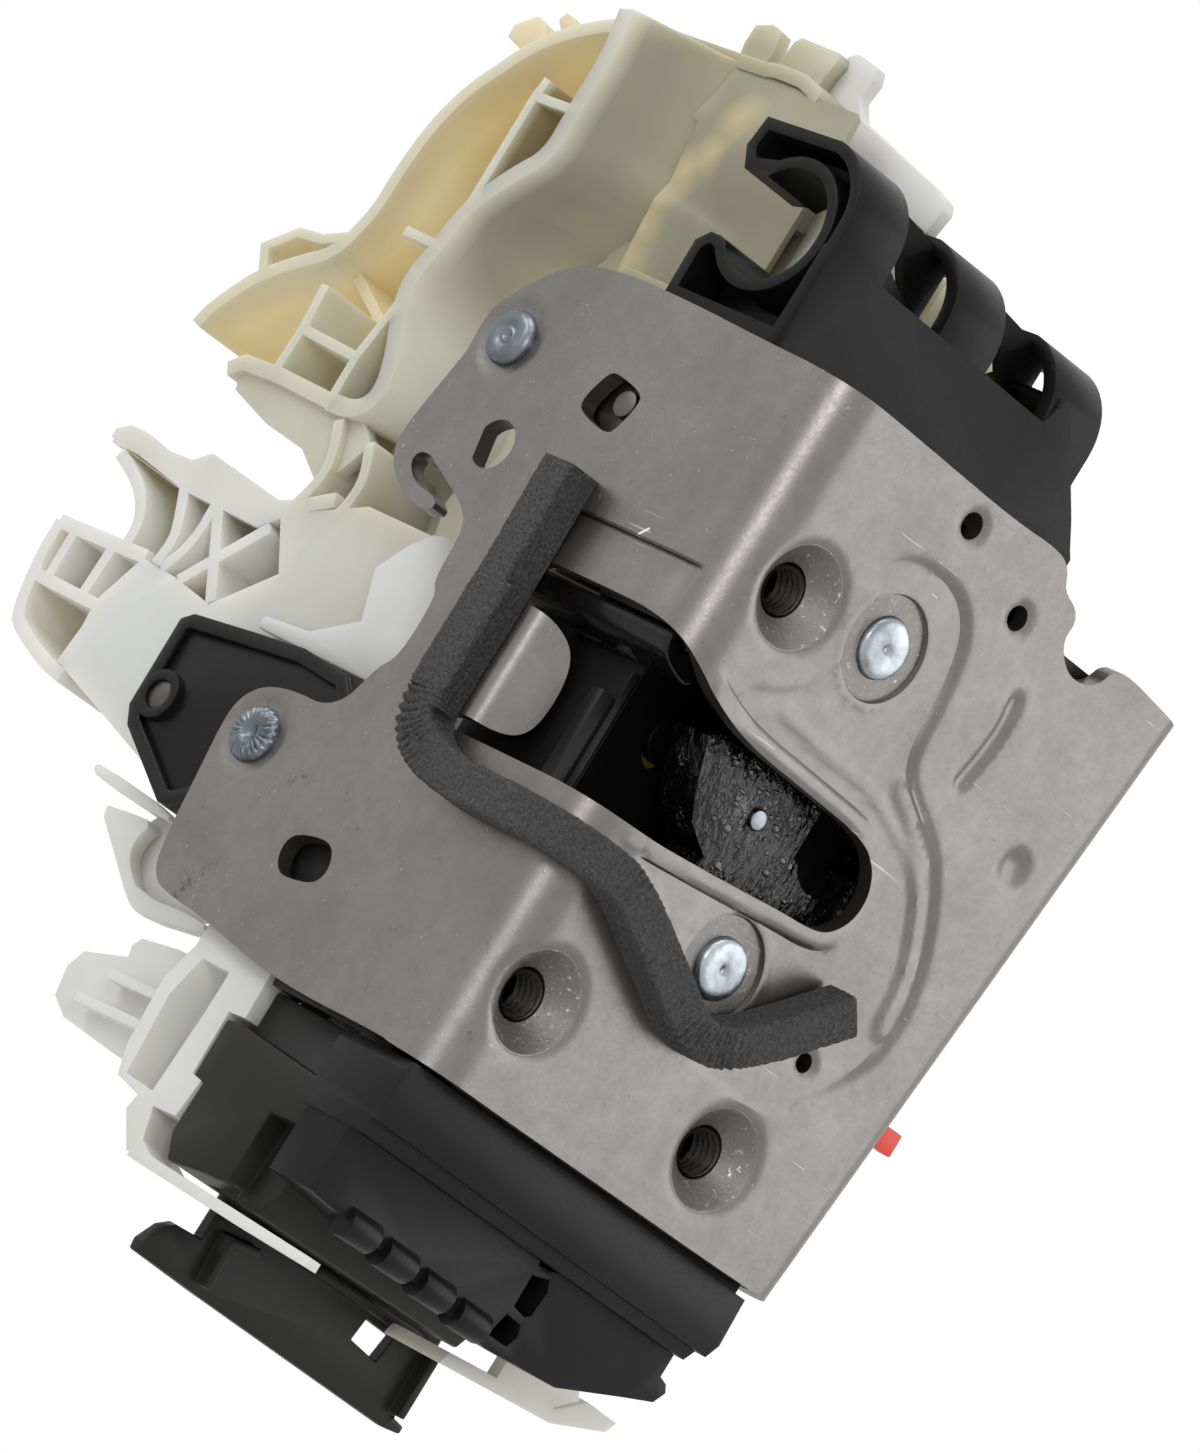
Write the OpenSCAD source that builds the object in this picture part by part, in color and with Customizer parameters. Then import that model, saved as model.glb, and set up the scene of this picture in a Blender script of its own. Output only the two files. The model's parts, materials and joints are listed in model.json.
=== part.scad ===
// Side door latch with its actuator: a stamped L plate with the striker slot over its bend,
// the claw and pawl behind it, a black housing with a cable duct, and an ivory actuator case.
// Millimetres. x runs from the flange face to the plate's far edge, y from the shut face into
// the door, z up along the bend. seat() then moves all so that the origin is the lower screw.

/* [Latch plate] */
// Sheet thickness of the stamped plate
plate_t = 2.4; // [1.8:0.1:3]
// Outer radius of the big bend between the two faces
bend_r = 8; // [6:0.5:10]
// Height of the shut face above the lower screw
plate_top = 79; // [77:0.5:84]
// Depth of the shut face below the lower screw
plate_bottom = 13.2; // [12:0.2:14]
// Width of the shut face at its lower edge
shut_w = 69; // [67:0.5:73]
// Lean of the far edge from upright, in degrees
edge_lean = 5.8; // [4.5:0.1:6.5]
// Radius of the fold along the far edge
fold_r = 4.5; // [3.5:0.5:6]
// Depth of the folded edge
fold_d = 9; // [7:0.5:13]

/* [Screw seats] */
// Minor radius of the M6 thread
thread_r = 2.5; // [2.1:0.05:2.9]
// Radius of the screw seat's mouth
seat_r = 6.4; // [5.8:0.1:7]
// Depth of the conical seat
seat_d = 3.3; // [2.6:0.1:3.6]
// Length of the thread behind the seat
thread_l = 5; // [3.5:0.5:5]
// Outer radius of the threaded collar
collar_r = 4.6; // [4.2:0.1:5]
// Distance from the flange face to the lower screw
low_x = 10.7; // [10:0.1:11.5]
// Spacing from the lower screw to the upper screw
upper_z = 55.7; // [54:0.5:58]
// Distance from the flange face to the upper screw
upper_x = 12.6; // [11.5:0.1:13.5]
// Distance from the flange face to the far screw
far_x = 47.9; // [46:0.5:50]
// Drop from the lower screw to the far screw
far_drop = 3; // [2:0.5:5]

/* [Striker slot] */
// Height of the slot's lower edge
slot_low = 22.8; // [22:0.2:24]
// Height of the slot's upper edge at the mouth
slot_high = 45.4; // [44:0.2:47]
// Distance from the flange face to the slot's end
slot_end = 47; // [45:0.5:49]
// Radius of the slot's closed end
slot_end_r = 5.8; // [4.5:0.1:6.2]
// How far the slot reaches along the flange
slot_flange = 29; // [27:0.5:30]
// Length of the lead-in tongue bent into the slot
tongue_l = 9; // [6:0.5:10]

/* [Claw and pawl] */
// Claw pivot, distance from the flange face
claw_x = 32.9; // [32:0.1:34]
// Claw pivot height
claw_z = 15.5; // [15:0.1:16.5]
// Pawl pivot, distance from the flange face
pawl_x = 28.4; // [28:0.1:29.5]
// Pawl pivot height
pawl_z = 57; // [56.5:0.1:58]
// Radius of both pivot pins
pin_r = 3.9; // [3:0.1:4.2]
// Running clearance round the pins
pin_gap = 0.06; // [0.03:0.01:0.09]
// Thickness of the claw and pawl steel
claw_t = 4.6; // [4:0.2:5]
// Thickness of the plastic skin on the claw
skin_t = 0.8; // [0.5:0.1:1]
// Reach of the claw's hook from its pivot
hook_r = 27.4; // [26.4:0.1:27.6]
// Radius of the striker pocket in the claw
pocket_r = 5.4; // [4.8:0.1:5.8]

/* [Housing] */
// Wall of the black mouldings
wall = 2; // [1.6:0.1:2.4]
// Depth of the latch housing behind the shut face
housing_d = 19.6; // [19:0.2:20.6]
// Gap between the plate and the mouldings
seat_gap = 0.3; // [0.2:0.05:0.4]
// Thickness of the steel back plate
back_t = 2; // [1.5:0.1:2.2]

/* [Cable duct] */
// Front face of the duct behind the shut face
duct_y = 16; // [15.6:0.2:17]
// Bore radius of the cable clip
clip_r = 7.3; // [6.5:0.1:7.6]
// Width of the clip and of each hoop
hoop_w = 9.6; // [8:0.2:10.4]
// Distance between hoops
hoop_pitch = 21.4; // [20:0.2:22]
// Number of hoops, the clip included
hoop_count = 3; // [2:1:3]

/* [Actuator case] */
// Near face of the actuator case from the flange face
case_x = 12; // [11.6:0.2:13]
// Depth of the near half of the case
case_d = 14; // [12.5:0.5:15]
// Depth of the white cover behind it
cover_d = 13; // [12:0.5:15]
// Wall of the ivory and white mouldings
case_wall = 1.8; // [1.4:0.1:2.2]
// Height of the case's crown above the lower screw
crown_z = 114; // [112:0.5:117]

/* [Foam seal] */
// Width of the foam strip
foam_w = 5.2; // [4.5:0.1:5.6]
// Height of the foam strip
foam_h = 5; // [4:0.2:6]

/* [Drive] */
// Teeth of the lock gear
gear_teeth = 30; // [28:2:32]
// Pitch radius of the lock gear
gear_r = 8.8; // [8.4:0.1:9]
// Radius of the motor can
motor_r = 8.6; // [8.2:0.1:8.7]
// Length of the motor can
motor_l = 24; // [20:0.5:25]

/* [Hidden] */

steel = [0.62, 0.60, 0.58];
dark_steel = [0.35, 0.35, 0.36];
zinc = [0.75, 0.77, 0.80];
black = [0.09, 0.09, 0.10];
ivory = [0.90, 0.87, 0.74];
white = [0.93, 0.93, 0.90];

far_z = -far_drop;
fold_top = 70.9;
claw_y = 5.8;
claw_top = claw_y + claw_t;
head_r = 4.3;
floor_y = 12.4;
back_y = floor_y + wall;
case_back = case_x + case_d;
rear_y = housing_d + 0.4;
rear_back = rear_y + 18;
pawl_rest = 6.5;
screw_at = [[44.4, 20], [92, 20], [44.4, 100], [75, 99]];
rim_x = case_x + 9;
bowl_lean = 1.2;
worm_y = 50.8;
gear_y = worm_y + 2.9 + gear_r + 0.2;
gear_z = 94;
cover_back = case_back + cover_d;

module seat() { translate([-low_x, -seat_d, 0]) children(); }

// Flat outline drawn in x and z, thick from y = a to y = b
module slab_y(a, b) { translate([0, b, 0]) rotate([90, 0, 0]) linear_extrude(height = b - a) children(); }

// Flat outline drawn in y and z, thick from x = a to x = b
module slab_x(a, b) { translate([a, 0, 0]) rotate([90, 0, 90]) linear_extrude(height = b - a) children(); }

module rod_y(x, z, a, b, r, n = 48) { translate([x, b, z]) rotate([90, 0, 0]) cylinder(h = b - a, r = r, $fn = n); }

module rod_x(y, z, a, b, r, n = 48) { translate([a, y, z]) rotate([0, 90, 0]) cylinder(h = b - a, r = r, $fn = n); }

module box(x0, x1, y0, y1, z0, z1) { translate([x0, y0, z0]) cube([x1 - x0, y1 - y0, z1 - z0]); }

function way(p, i) = (p[i + 1] - p[i]) / norm(p[i + 1] - p[i]);
function turn(a, b) = [-a[1] - b[1], a[0] + b[0]];
function side(p, i, m, h) = p[i] + m * 2 * h / (m * m);
function mitre(p, i, h) = side(p, i, turn(way(p, max(i - 1, 0)), way(p, min(i, len(p) - 2))), h);

// A band of even width along a list of points
module band(p, w) {
    n = len(p) - 1;
    polygon(concat([for (i = [0:n]) mitre(p, i, w / 2)], [for (i = [0:n]) mitre(p, n - i, -w / 2)]));
}

// Cuts every corner of a closed outline, and of an open line but its ends
function cut(p, n) = [for (i = [0:n]) each [
    p[i] * 0.75 + p[(i + 1) % len(p)] * 0.25, p[i] * 0.25 + p[(i + 1) % len(p)] * 0.75
]];
function smooth(p) = cut(cut(p, len(p) - 1), 2 * len(p) - 1);
function eased(p) = concat([p[0]], cut(p, len(p) - 2), [p[len(p) - 1]]);
function flowing(p) = eased(eased(p));

function edge_x(z) = shut_w + (z + plate_bottom) * tan(edge_lean);
function arc(cx, cy, r, a, b, n) = [for (i = [0:n]) [cx + r * cos(a + (b - a) * i / n), cy + r * sin(a + (b - a) * i / n)]];

// Stamped plate

module shut_outline() {
    polygon([
        [0, -plate_bottom], [edge_x(-plate_bottom) - fold_r, -plate_bottom],
        [edge_x(fold_top) - fold_r, fold_top + 1], [63.4, 72.2], [51.6, 72.2], [51.3, 73.9],
        [49.9, 75], [48.4, 75.1], [47.3, 75.8], [46.2, plate_top - 1.4], [45, plate_top], [0, plate_top]
    ]);
}

module slot_outline() {
    ex = slot_end - slot_end_r;
    ez = slot_low + 8.4;
    polygon([
        [-1, slot_low], [12, slot_low], [23.3, slot_low + 0.8], [37.8, ez - slot_end_r],
        [ex, ez - slot_end_r], [ex, ez + slot_end_r], [26.5, 37.4], [17.7, 38.1], [9.8, 40.2],
        [5.5, 42.2], [2, slot_high - 0.8], [-1, slot_high]
    ]);
    translate([ex, ez]) circle(r = slot_end_r, $fn = 64);
}

module flange_outline() {
    polygon([
        [bend_r, -12.6], [29.8, -12.6], [44.4, -10.1], [53.8, -9.3], [56.3, -8.3], [58.1, -5.3],
        [59.8, 7.3], [60.4, 11.3], [60.3, 14.6], [58.2, 17.2], [54.9, 18.3], [50.9, 18.7], [47, 18.6],
        [44.2, 20.2], [43.1, 22.4], [42, 25.6], [39.9, 27.4], [39.9, 36.3], [41.7, 37.3],
        [41.9, 43.4], [42.8, 45.6], [45.1, 47.4], [49.6, 49], [53.3, 50.5], [55.7, 51.2], [56.4, 50.4],
        [56, 48.6], [55, 47.2], [52.1, 45.9], [50.2, 45.7], [50.1, 44.2], [54.7, 45.2], [57.8, 46.8],
        [59.4, 48.2], [61, 51.5], [58.4, 60.5], [58, 64.3], [58.7, 69.1], [55.8, 73.6], [52, 77.2],
        [47, 79.6], [33.3, 80.2], [bend_r, plate_top]
    ]);
}

module bend_profile() {
    intersection() {
        square([bend_r, bend_r]);
        translate([bend_r, bend_r])
            difference() {
                circle(r = bend_r, $fn = 96);
                circle(r = bend_r - plate_t, $fn = 96);
            }
    }
}

module far_fold() {
    translate([edge_x(-plate_bottom), 0, -plate_bottom])
        rotate([0, edge_lean, 0])
            linear_extrude(height = (fold_top + plate_bottom) / cos(edge_lean)) {
                intersection() {
                    translate([-fold_r, 0]) square([fold_r, fold_r]);
                    translate([-fold_r, fold_r])
                        difference() {
                            circle(r = fold_r, $fn = 64);
                            circle(r = fold_r - plate_t, $fn = 64);
                        }
                }
                translate([-fold_r - 0.6, 0]) square([0.7, plate_t]);
                translate([-plate_t, fold_r - 0.01]) square([plate_t, fold_d - fold_r]);
            }
}

// Tongue along the flange side of the slot, bent inward to lead the striker in
module tongue() {
    r = plate_t + 1;
    difference() {
        translate([r, 24.5, 24.2])
            linear_extrude(height = 15.6) {
                translate([-r, 0]) square([plate_t, 5]);
                intersection() {
                    difference() {
                        circle(r = r, $fn = 48);
                        circle(r = 1, $fn = 48);
                    }
                    polygon([[0, 0], [-8, 0], [-8, -8 * tan(60)]]);
                }
                rotate(60) translate([-r, -tongue_l + 3]) square([plate_t, tongue_l - 3]);
            }
        translate([r, 24.5, 24.2])
            rotate([0, 0, 60])
                for (z = [-1, 13.2])
                    translate([-r - 1, -tongue_l + 2, z]) cube([plate_t + 2, 3, 3.4]);
    }
}

module screw_seat(x, z) {
    rod_y(x, z, seat_d - 0.9, seat_d + thread_l, collar_r);
    translate([x, seat_d + 1, z]) rotate([90, 0, 0]) cylinder(h = seat_d + 0.2, r1 = 4.4, r2 = seat_r + 1.5, $fn = 64);
}

module screw_bore(x, z) {
    rod_y(x, z, -1, seat_d + thread_l + 1, thread_r);
    translate([x, seat_d, z]) rotate([90, 0, 0]) cylinder(h = seat_d + 0.01, r1 = thread_r + 0.9, r2 = seat_r, $fn = 64);
}

module latch_plate() {
    color(steel) difference() {
        union() {
            difference() {
                union() {
                    intersection() {
                        box(bend_r, 90, 0, plate_t, -plate_bottom, 90);
                        slab_y(-1, bend_r) shut_outline();
                    }
                    translate([0, 0, -plate_bottom + 0.3])
                        linear_extrude(height = plate_top + plate_bottom - 0.3) bend_profile();
                    slab_x(0, plate_t) flange_outline();
                    far_fold();
                }
                slab_y(-1, bend_r + 0.5) slot_outline();
                box(-1, plate_t + 1, 3.2, slot_flange, slot_low, slot_high);
                rod_y(57, 72.3, -1, plate_t + 1, 4.6);
            }
            tongue();
            screw_seat(low_x, 0);
            screw_seat(upper_x, upper_z);
            screw_seat(far_x, far_z);
        }
        screw_bore(low_x, 0);
        screw_bore(upper_x, upper_z);
        screw_bore(far_x, far_z);
        rod_y(claw_x, claw_z, -1, plate_t + 1, pin_r);
        rod_y(pawl_x, pawl_z, -1, plate_t + 1, pin_r);
        rod_y(claw_x, claw_z, -1, 0.8, 6.6);
        rod_y(pawl_x, pawl_z, -1, 0.8, 6.6);
        rod_x(52.4, 67.5, -1, plate_t + 1, 2.6);
        rod_x(54.4, 12, -1, plate_t + 1, 2.6);
        rod_y(30.1, 74.7, -1, plate_t + 1, 1.7);
        rod_y(44.1, 69.4, -1, plate_t + 1, 1.6);
        rod_y(52.4, 12.4, -1, plate_t + 1, 1.25);
        rod_y(64.2, 45.8, -1, 0.8, 2.6);
        box(64, 74, 4.15, 6.25, 9.55, 12.65);
        slab_y(-1, 0.7) band([[50.5, 62.2], [49.4, 56], [48.8, 48.9]], 2.6);
        slab_x(-1, plate_t + 1) {
            intersection() {
                translate([45.3, 55.1]) circle(r = 3.2, $fn = 48);
                polygon([[40, 50], [46.8, 50], [48.4, 56.8], [48.4, 60], [40, 60]]);
            }
            polygon([[36.2, 64.2], [34.7, 68], [33.6, 68.9], [28, 67.8], [27.2, 66.6], [28.4, 62.6], [29.5, 61.6], [35.2, 62.8]]);
            polygon([[33.2, 0], [34, -0.8], [37, -0.8], [38, 0.2], [38, 3.2], [37.2, 4], [34, 4], [33.2, 3.2]]);
        }
    }
}

module foam_seal() {
    color([0.26, 0.26, 0.27]) {
        slab_x(-foam_h, 0)
            band([[28.8, 53.6], [28.4, 38], [28.8, 21.8], [25.5, 18.6], [18, 17.1], [bend_r, 17.4]], foam_w);
        slab_y(-foam_h, 0)
            band([[bend_r, 17.4], [13, 15.4], [23.8, 10.2], [33.5, 6.9], [42.9, 12.9], [50.5, 19.7]], foam_w);
        translate([bend_r, bend_r, 17.4 - foam_w / 2])
            rotate([0, 0, 180])
                rotate_extrude(angle = 90, $fn = 96)
                    translate([bend_r, 0]) square([foam_h, foam_w]);
    }
}

// Claw, pawl and their pins

module claw_outline(r) {
    difference() {
        union() {
            circle(r = 8.4, $fn = 64);
            polygon(concat(
                [[8.4, -1], [20.5, 5]],
                arc(0, 0, r, 24, 50, 8),
                [[15.7, 18.2]],
                [[15.6, 10], [0, 0]]
            ));
            polygon(concat(
                [[0, 0], [12, 8], [12, 16], [4.9, 16]],
                arc(0, 0, r, 79.6, 127.6, 14),
                [[-13.9, 15.5], [-11.9, 12.4], [-7.4, 10], [-8.4, 0]]
            ));
        }
        translate([10.3, 19]) circle(r = pocket_r, $fn = 48);
        translate([10.3 - pocket_r, 19]) square([2 * pocket_r, 20]);
    }
}

module claw_core() {
    color(dark_steel) translate([claw_x, 0, claw_z]) difference() {
        slab_y(claw_y, claw_top) offset(delta = -skin_t) claw_outline(hook_r);
        rod_y(0, 0, claw_y - 1, claw_top + 1, pin_r + pin_gap);
        rod_y(-3.3, 17.2, claw_y - 1, claw_top + 1, 1.2, 24);
    }
}

module claw_skin() {
    color(black) translate([claw_x, 0, claw_z]) difference() {
        slab_y(claw_y - skin_t, claw_top + skin_t) claw_outline(hook_r);
        slab_y(claw_y, claw_top) offset(delta = -skin_t) claw_outline(hook_r);
        rod_y(0, 0, claw_y - 3, claw_top + 3, pin_r + 1.2);
        rod_y(-3.3, 17.2, claw_y - 3, claw_y + 1, 1.4, 24);
    }
}

module claw_stud() {
    color(zinc) translate([claw_x, 0, claw_z]) {
        rod_y(-3.3, 17.2, claw_y - skin_t - 0.4, claw_top - 0.2, 1.2, 24);
    }
}

module pawl_outline() {
    difference() {
        union() {
            circle(r = 6.9, $fn = 64);
            polygon([
                [4.5, -5], [11.8, -12.4], [19.9, -22.4], [22.9, -19.5], [24.6, -15], [20, -8],
                [12, -1], [14.5, 5], [11.5, 6.8], [5, 6]
            ]);
        }
    }
}

module pawl() {
    color(dark_steel) translate([pawl_x, 0, pawl_z]) rotate([0, -pawl_rest, 0]) difference() {
        slab_y(claw_y, claw_top) pawl_outline();
        rod_y(0, 0, claw_y - 1, claw_top + 1, pin_r + pin_gap);
    }
}

module pivot_pin(x, z) {
    color(zinc) {
        rod_y(x, z, -0.3, 0.8, head_r, 64);
        rod_y(x, z, 0.7, back_y + back_t + 0.8, pin_r, 64);
        rod_y(x, z, back_y + back_t, back_y + back_t + 0.9, pin_r + 0.7, 64);
    }
}

module claw_pin() { pivot_pin(claw_x, claw_z); }
module pawl_pin() { pivot_pin(pawl_x, pawl_z); }

// Close turns of wire round a pin, with one leg each way
module coil(x, z, lean) {
    color([0.55, 0.56, 0.58]) translate([x, 3.5, z]) rotate([0, lean, 0]) {
        for (i = [0:1])
            translate([0, 0.7 * i, 0])
                rotate([90, 0, 0])
                    rotate_extrude($fn = 64) translate([pin_r + 1.7, 0]) circle(r = 0.5, $fn = 24);
        translate([pin_r + 1.7, 0.7, 0]) cylinder(h = 10, r = 0.45, $fn = 24);
        translate([-pin_r - 1.7, 0, -10]) cylinder(h = 10, r = 0.45, $fn = 24);
    }
}

module claw_spring() { coil(claw_x, claw_z, 0); }
module pawl_spring() { coil(pawl_x, pawl_z, 90); }

module striker_buffer() {
    color([0.13, 0.13, 0.14]) difference() {
        slab_y(floor_y + 0.2, housing_d - 1.8)
            polygon([[44.9, 28], [44.9, 36.9], [43.2, 38], [41.4, 36], [40.8, 33], [41.4, 29.4], [42.6, 26.8]]);
        rod_y(43.1, 32, floor_y - 1, housing_d, 0.8, 24);
    }
}

// Black mouldings behind the shut face

module housing_outline(g) {
    polygon([
        [3 + g, -11.8 + g], [63.6 - g, -11.8 + g], [71.9 - g, 69.6 - g], [52 - g, 69.8 - g],
        [47 - g, 73 - g], [44.5 - g, 76.6 - g], [3 + g, 76.8 - g]
    ]);
}

module well_outline(g) {
    polygon([
        [8.8 - g, slot_low - 1 - g], [40 + g, slot_low - g], [45 + g, slot_low + 5], [45 + g, 37],
        [40 + g, 40.6 + g], [8.8 - g, 43.2 + g]
    ]);
}

module latch_housing() {
    color(black) difference() {
        union() {
            difference() {
                slab_y(plate_t + seat_gap, housing_d) housing_outline(0);
                slab_y(0, floor_y) housing_outline(wall);
                slab_y(back_y, housing_d + 1) housing_outline(wall);
            }
            slab_y(back_y - 0.5, housing_d) well_outline(1.6);
            box(4.9, 30, 5, floor_y + 0.5, slot_high - 1.9, slot_high - 0.4);
            box(7.4, 8.8, floor_y - 0.4, 15.4, slot_low - 1, 39);
            box(6.6, 8.6, housing_d - 0.6, 32, slot_low - 4, slot_low - 0.8);
            box(6.6, 8.6, 23.9, 32, slot_low - 4, slot_high + 4);
            box(6.6, 8.6, housing_d - 0.6, 32, 40.2, slot_high + 4);
            rod_y(claw_x, claw_z, claw_top + skin_t + 0.2, floor_y + 0.5, 6.4);
            rod_y(pawl_x, pawl_z, claw_top + skin_t + 0.2, floor_y + 0.5, 6.4);
        }
        slab_y(floor_y - 1, housing_d - 1.7) well_outline(0);
        rod_y(22.8, 34.5, housing_d - 2, housing_d + 1, 3);
        rod_y(claw_x, claw_z, 0, 30, pin_r + pin_gap);
        rod_y(pawl_x, pawl_z, 0, 30, pin_r + pin_gap);
        box(2, 5.2, 0, housing_d + 1, slot_low, slot_high - 0.4);
        linear_extrude(height = 200, center = true)
            polygon([[1, 1], [8.6, 1], [8.6, 2.75], [2.75, 8.6], [1, 8.6]]);
    }
}

module back_plate() {
    color(steel) difference() {
        slab_y(back_y + 0.05, back_y + back_t) housing_outline(wall + 0.35);
        slab_y(back_y - 1, back_y + back_t + 1) well_outline(2);
        rod_y(claw_x, claw_z, 0, 30, pin_r);
        rod_y(pawl_x, pawl_z, 0, 30, pin_r);
        rod_y(12.6, 62, 0, 30, 2.6);
        rod_y(56, 2, 0, 30, 2.6);
    }
}

module clip_outline() {
    polygon(concat([[duct_y, 80.2]], arc(duct_y + 9.4, 95.8, 9.4, 180, 97, 12), [
        [37.7, 104.5], [38.3, 100.4], [36.5, 97.7], [32.2, 98.6], [32.6, 88.9], [35.2, 89.6],
        [37.3, 87.6], [37.1, 80.2]
    ]));
}

module hoop(r, back, w) {
    band(concat([[duct_y + 9.6 - r, 84]], arc(duct_y + 9.6, 95.6, r, 180, 98, 12), [[back, 95 + r]]), w);
}

module cable_duct() {
    pitch = hoop_pitch;
    color(black) {
        difference() {
            slab_x(3, 3 + hoop_w) clip_outline();
            slab_x(2, hoop_w) difference() {
                offset(delta = -1.5) clip_outline();
                translate([26.7, 93.1]) circle(r = clip_r + 1.5, $fn = 64);
            }
            rod_x(26.7, 93.1, 2, 30, clip_r, 64);
            box(2, 30, 26.7, 40, 89.2, 97.6);
        }
        for (i = [1:hoop_count - 1]) {
            translate([3 + i * pitch, 0, -1.6 * i]) slab_x(0, hoop_w) hoop(8.6, 37, 1.8);
            translate([pitch * (i - 1), 0, 1.6 - 1.6 * i]) slab_y(duct_y + 8.5, duct_y + 10)
                polygon([[17.2, 103.3], [28.1, 102.1], [28.1, 80], [26, 80], [26, 93.5], [20.8, 98.8]]);
        }
        difference() {
            slab_y(duct_y, duct_y + 1.8) polygon([
                [3, 77.2], [3, 93.2], [46, 92.4], [47.4, 96.4], [58, 85.2], [61.6, 81.5], [61.6, 70.6],
                [52.4, 70.6], [47.4, 73.8], [45, 77.2]
            ]);
            slab_y(duct_y + 1, duct_y + 3) polygon([[14, 83], [44, 82], [44, 90.6], [14, 91.2]]);
        }
        box(4.6, 44.6, 4.6, duct_y + 0.5, 77.1, 79);
        slab_y(duct_y, 30) band([[47.4, 95.6], [57.6, 84.8], [60.7, 81], [60.7, 71.8]], 1.8);
        slab_y(duct_y + 5, duct_y + 6.4) polygon([[12.5, 79], [46, 78], [46, 90], [24.5, 93], [12.5, 98]]);
        box(3, 60, duct_y + 1, 30, 79, 80.6);
    }
}

module lower_shroud() {
    color(black) {
        difference() {
            union() {
                slab_y(plate_t + 0.1, 15) polygon([
                    [1.6, -13.5], [66.1, -14.2], [66.4, -20.4], [65.4, -22.4], [1.6, -21.4],
                    [0.5, -20], [0.5, -14.8]
                ]);
                slab_y(4, 15) polygon([[1.4, -21], [65.4, -21.6], [64, -24], [1.4, -23.4]]);
                slab_y(7, 15) polygon([
                    [2, -22], [65.2, -22], [65.2, -26.9], [66.6, -27.3], [67.3, -28.2], [66.3, -29.9],
                    [61.7, -31.4], [51.3, -35], [43.9, -35.4], [38.6, -35.8], [18, -33.2], [2, -31.9]
                ]);
            }
            slab_y(6, 12) polygon([[38.4, -22.8], [40, -21.4], [43.4, -21.2], [43.4, -23.4], [41, -24], [38.9, -24.2]]);
            slab_y(6, 12) polygon([[38.8, -25.6], [41.6, -25], [42.4, -26.2], [42.1, -29.6], [41.2, -30.2], [38.9, -29.8]]);
            slab_y(6, 12) polygon([[38.6, -31], [41.4, -31.2], [42, -32.6], [41.2, -34.2], [37.6, -34.2]]);
            box(30, 62, 9, 13.4, -20.4, -15.6);
        }
        for (i = [0:3])
            translate([9 + 7.4 * i, 7.6, -32.6 - 0.5 * i])
                rotate([0, 90, 0]) cylinder(h = 5.4, r = 2, $fn = 32);
        box(8.7, 64.6, 2.9, 14, -14.4, -12.1);
        box(2.9, 14, 8.7, 14.8, -14.4, -12);
        box(2.9, 14, 14.4, 32, -12.95, -12);
    }
}

// Levers behind the flange

module flange_rivet(y, z) {
    color(zinc) {
        rod_x(y, z, -1.1, 0, 3.6, 48);
        rod_x(y, z, -0.1, 8.4, 2.6, 48);
        rod_x(y, z, 8.1, 8.9, 3.4, 48);
    }
}

module upper_flange_rivet() { flange_rivet(52.4, 67.5); }
module lower_flange_rivet() { flange_rivet(54.4, 12); }

module outside_lever() {
    color(dark_steel) difference() {
        union() {
            slab_x(plate_t + 0.4, plate_t + 2.2) polygon([
                [58.6, 66], [56.8, 72.6], [50, 74], [44, 70.5], [33, 71], [27, 69.6], [25.6, 64], [27.4, 60.4],
                [33, 60.6], [43, 63.4], [49.4, 61.6], [55.4, 62.2]
            ]);
            rod_x(31.6, 65, plate_t + 2, plate_t + 6, 2.2, 32);
            rod_x(30.6, 66, plate_t - 1.4, plate_t + 1, 1.7, 32);
        }
        rod_x(52.4, 67.5, 0, 12, 2.6 + pin_gap);
    }
}

module inside_lever() {
    color(black) difference() {
        union() {
            slab_x(4.4, 6.2) polygon([
                [47, 21], [50.1, 23.6], [59.1, 24.2], [68.6, 23.3], [79.1, 22.2], [80.9, 21], [80.7, 9],
                [79, 6.6], [67.2, 0.1], [65.4, 0.2], [60, 3.4], [50, 3], [46, 8]
            ]);
            slab_x(4.4, 8) difference() {
                polygon([
                    [47, 21], [50.1, 23.6], [59.1, 24.2], [68.6, 23.3], [79.1, 22.2], [80.9, 21], [80.7, 9],
                    [79, 6.6], [67.2, 0.1], [65.4, 0.2], [60, 3.4], [50, 3], [46, 8]
                ]);
                polygon([
                    [56, 20.6], [63.6, 21.6], [77.8, 20.6], [79.2, 19.4], [79, 9.8], [78, 8], [68, 2.4],
                    [61.6, 5.4], [57, 5]
                ]);
            }
            rod_x(54.4, 12, 4.4, 8, 5.4);
            rod_x(76.6, 11.6, 3, 6.5, 3.2);
        }
        rod_x(54.4, 12, 0, 12, 2.6 + pin_gap);
        rod_x(76.6, 11.6, 2, 5.6, 1.9, 32);
    }
}

module inside_lever_pin() {
    color(zinc) rod_x(76.6, 11.6, 3.4, 5.6, 1.9, 32);
}

module lock_lever() {
    color(white) difference() {
        union() {
            slab_x(9.2, 11) polygon([
                [44, 40], [51.1, 44.9], [56.4, 43.8], [59.3, 41.3], [62.3, 37.2], [60.4, 33], [59.4, 30.8],
                [66.4, 27], [74.7, 26.4], [74.7, 24.8], [52, 24.6], [43, 27]
            ]);
            rod_x(46, 33, 9.2, 11.6, 5);
        }
        rod_x(46, 33, 8, 12.6, 2.5 + pin_gap);
    }
}

// Ivory and white mouldings

// Rim of the case's outer wall, from its foot round to the crown
function outer_rim() = [
    [127.8, 56.9], [127.1, 59.3], [125, 62.4], [122.6, 65.5], [117.8, 69], [112.8, 71.8], [111, 75.9],
    [110.1, 79.5], [110.2, 84.3], [109.5, 91.2], [107.2, 97.2], [104.4, 100.9], [101.7, 104.6], [97.9, 107.9],
    [91.5, 111.3], [85.6, crown_z - 1.2], [76.4, crown_z - 1], [62, crown_z - 0.4]
];

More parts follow.
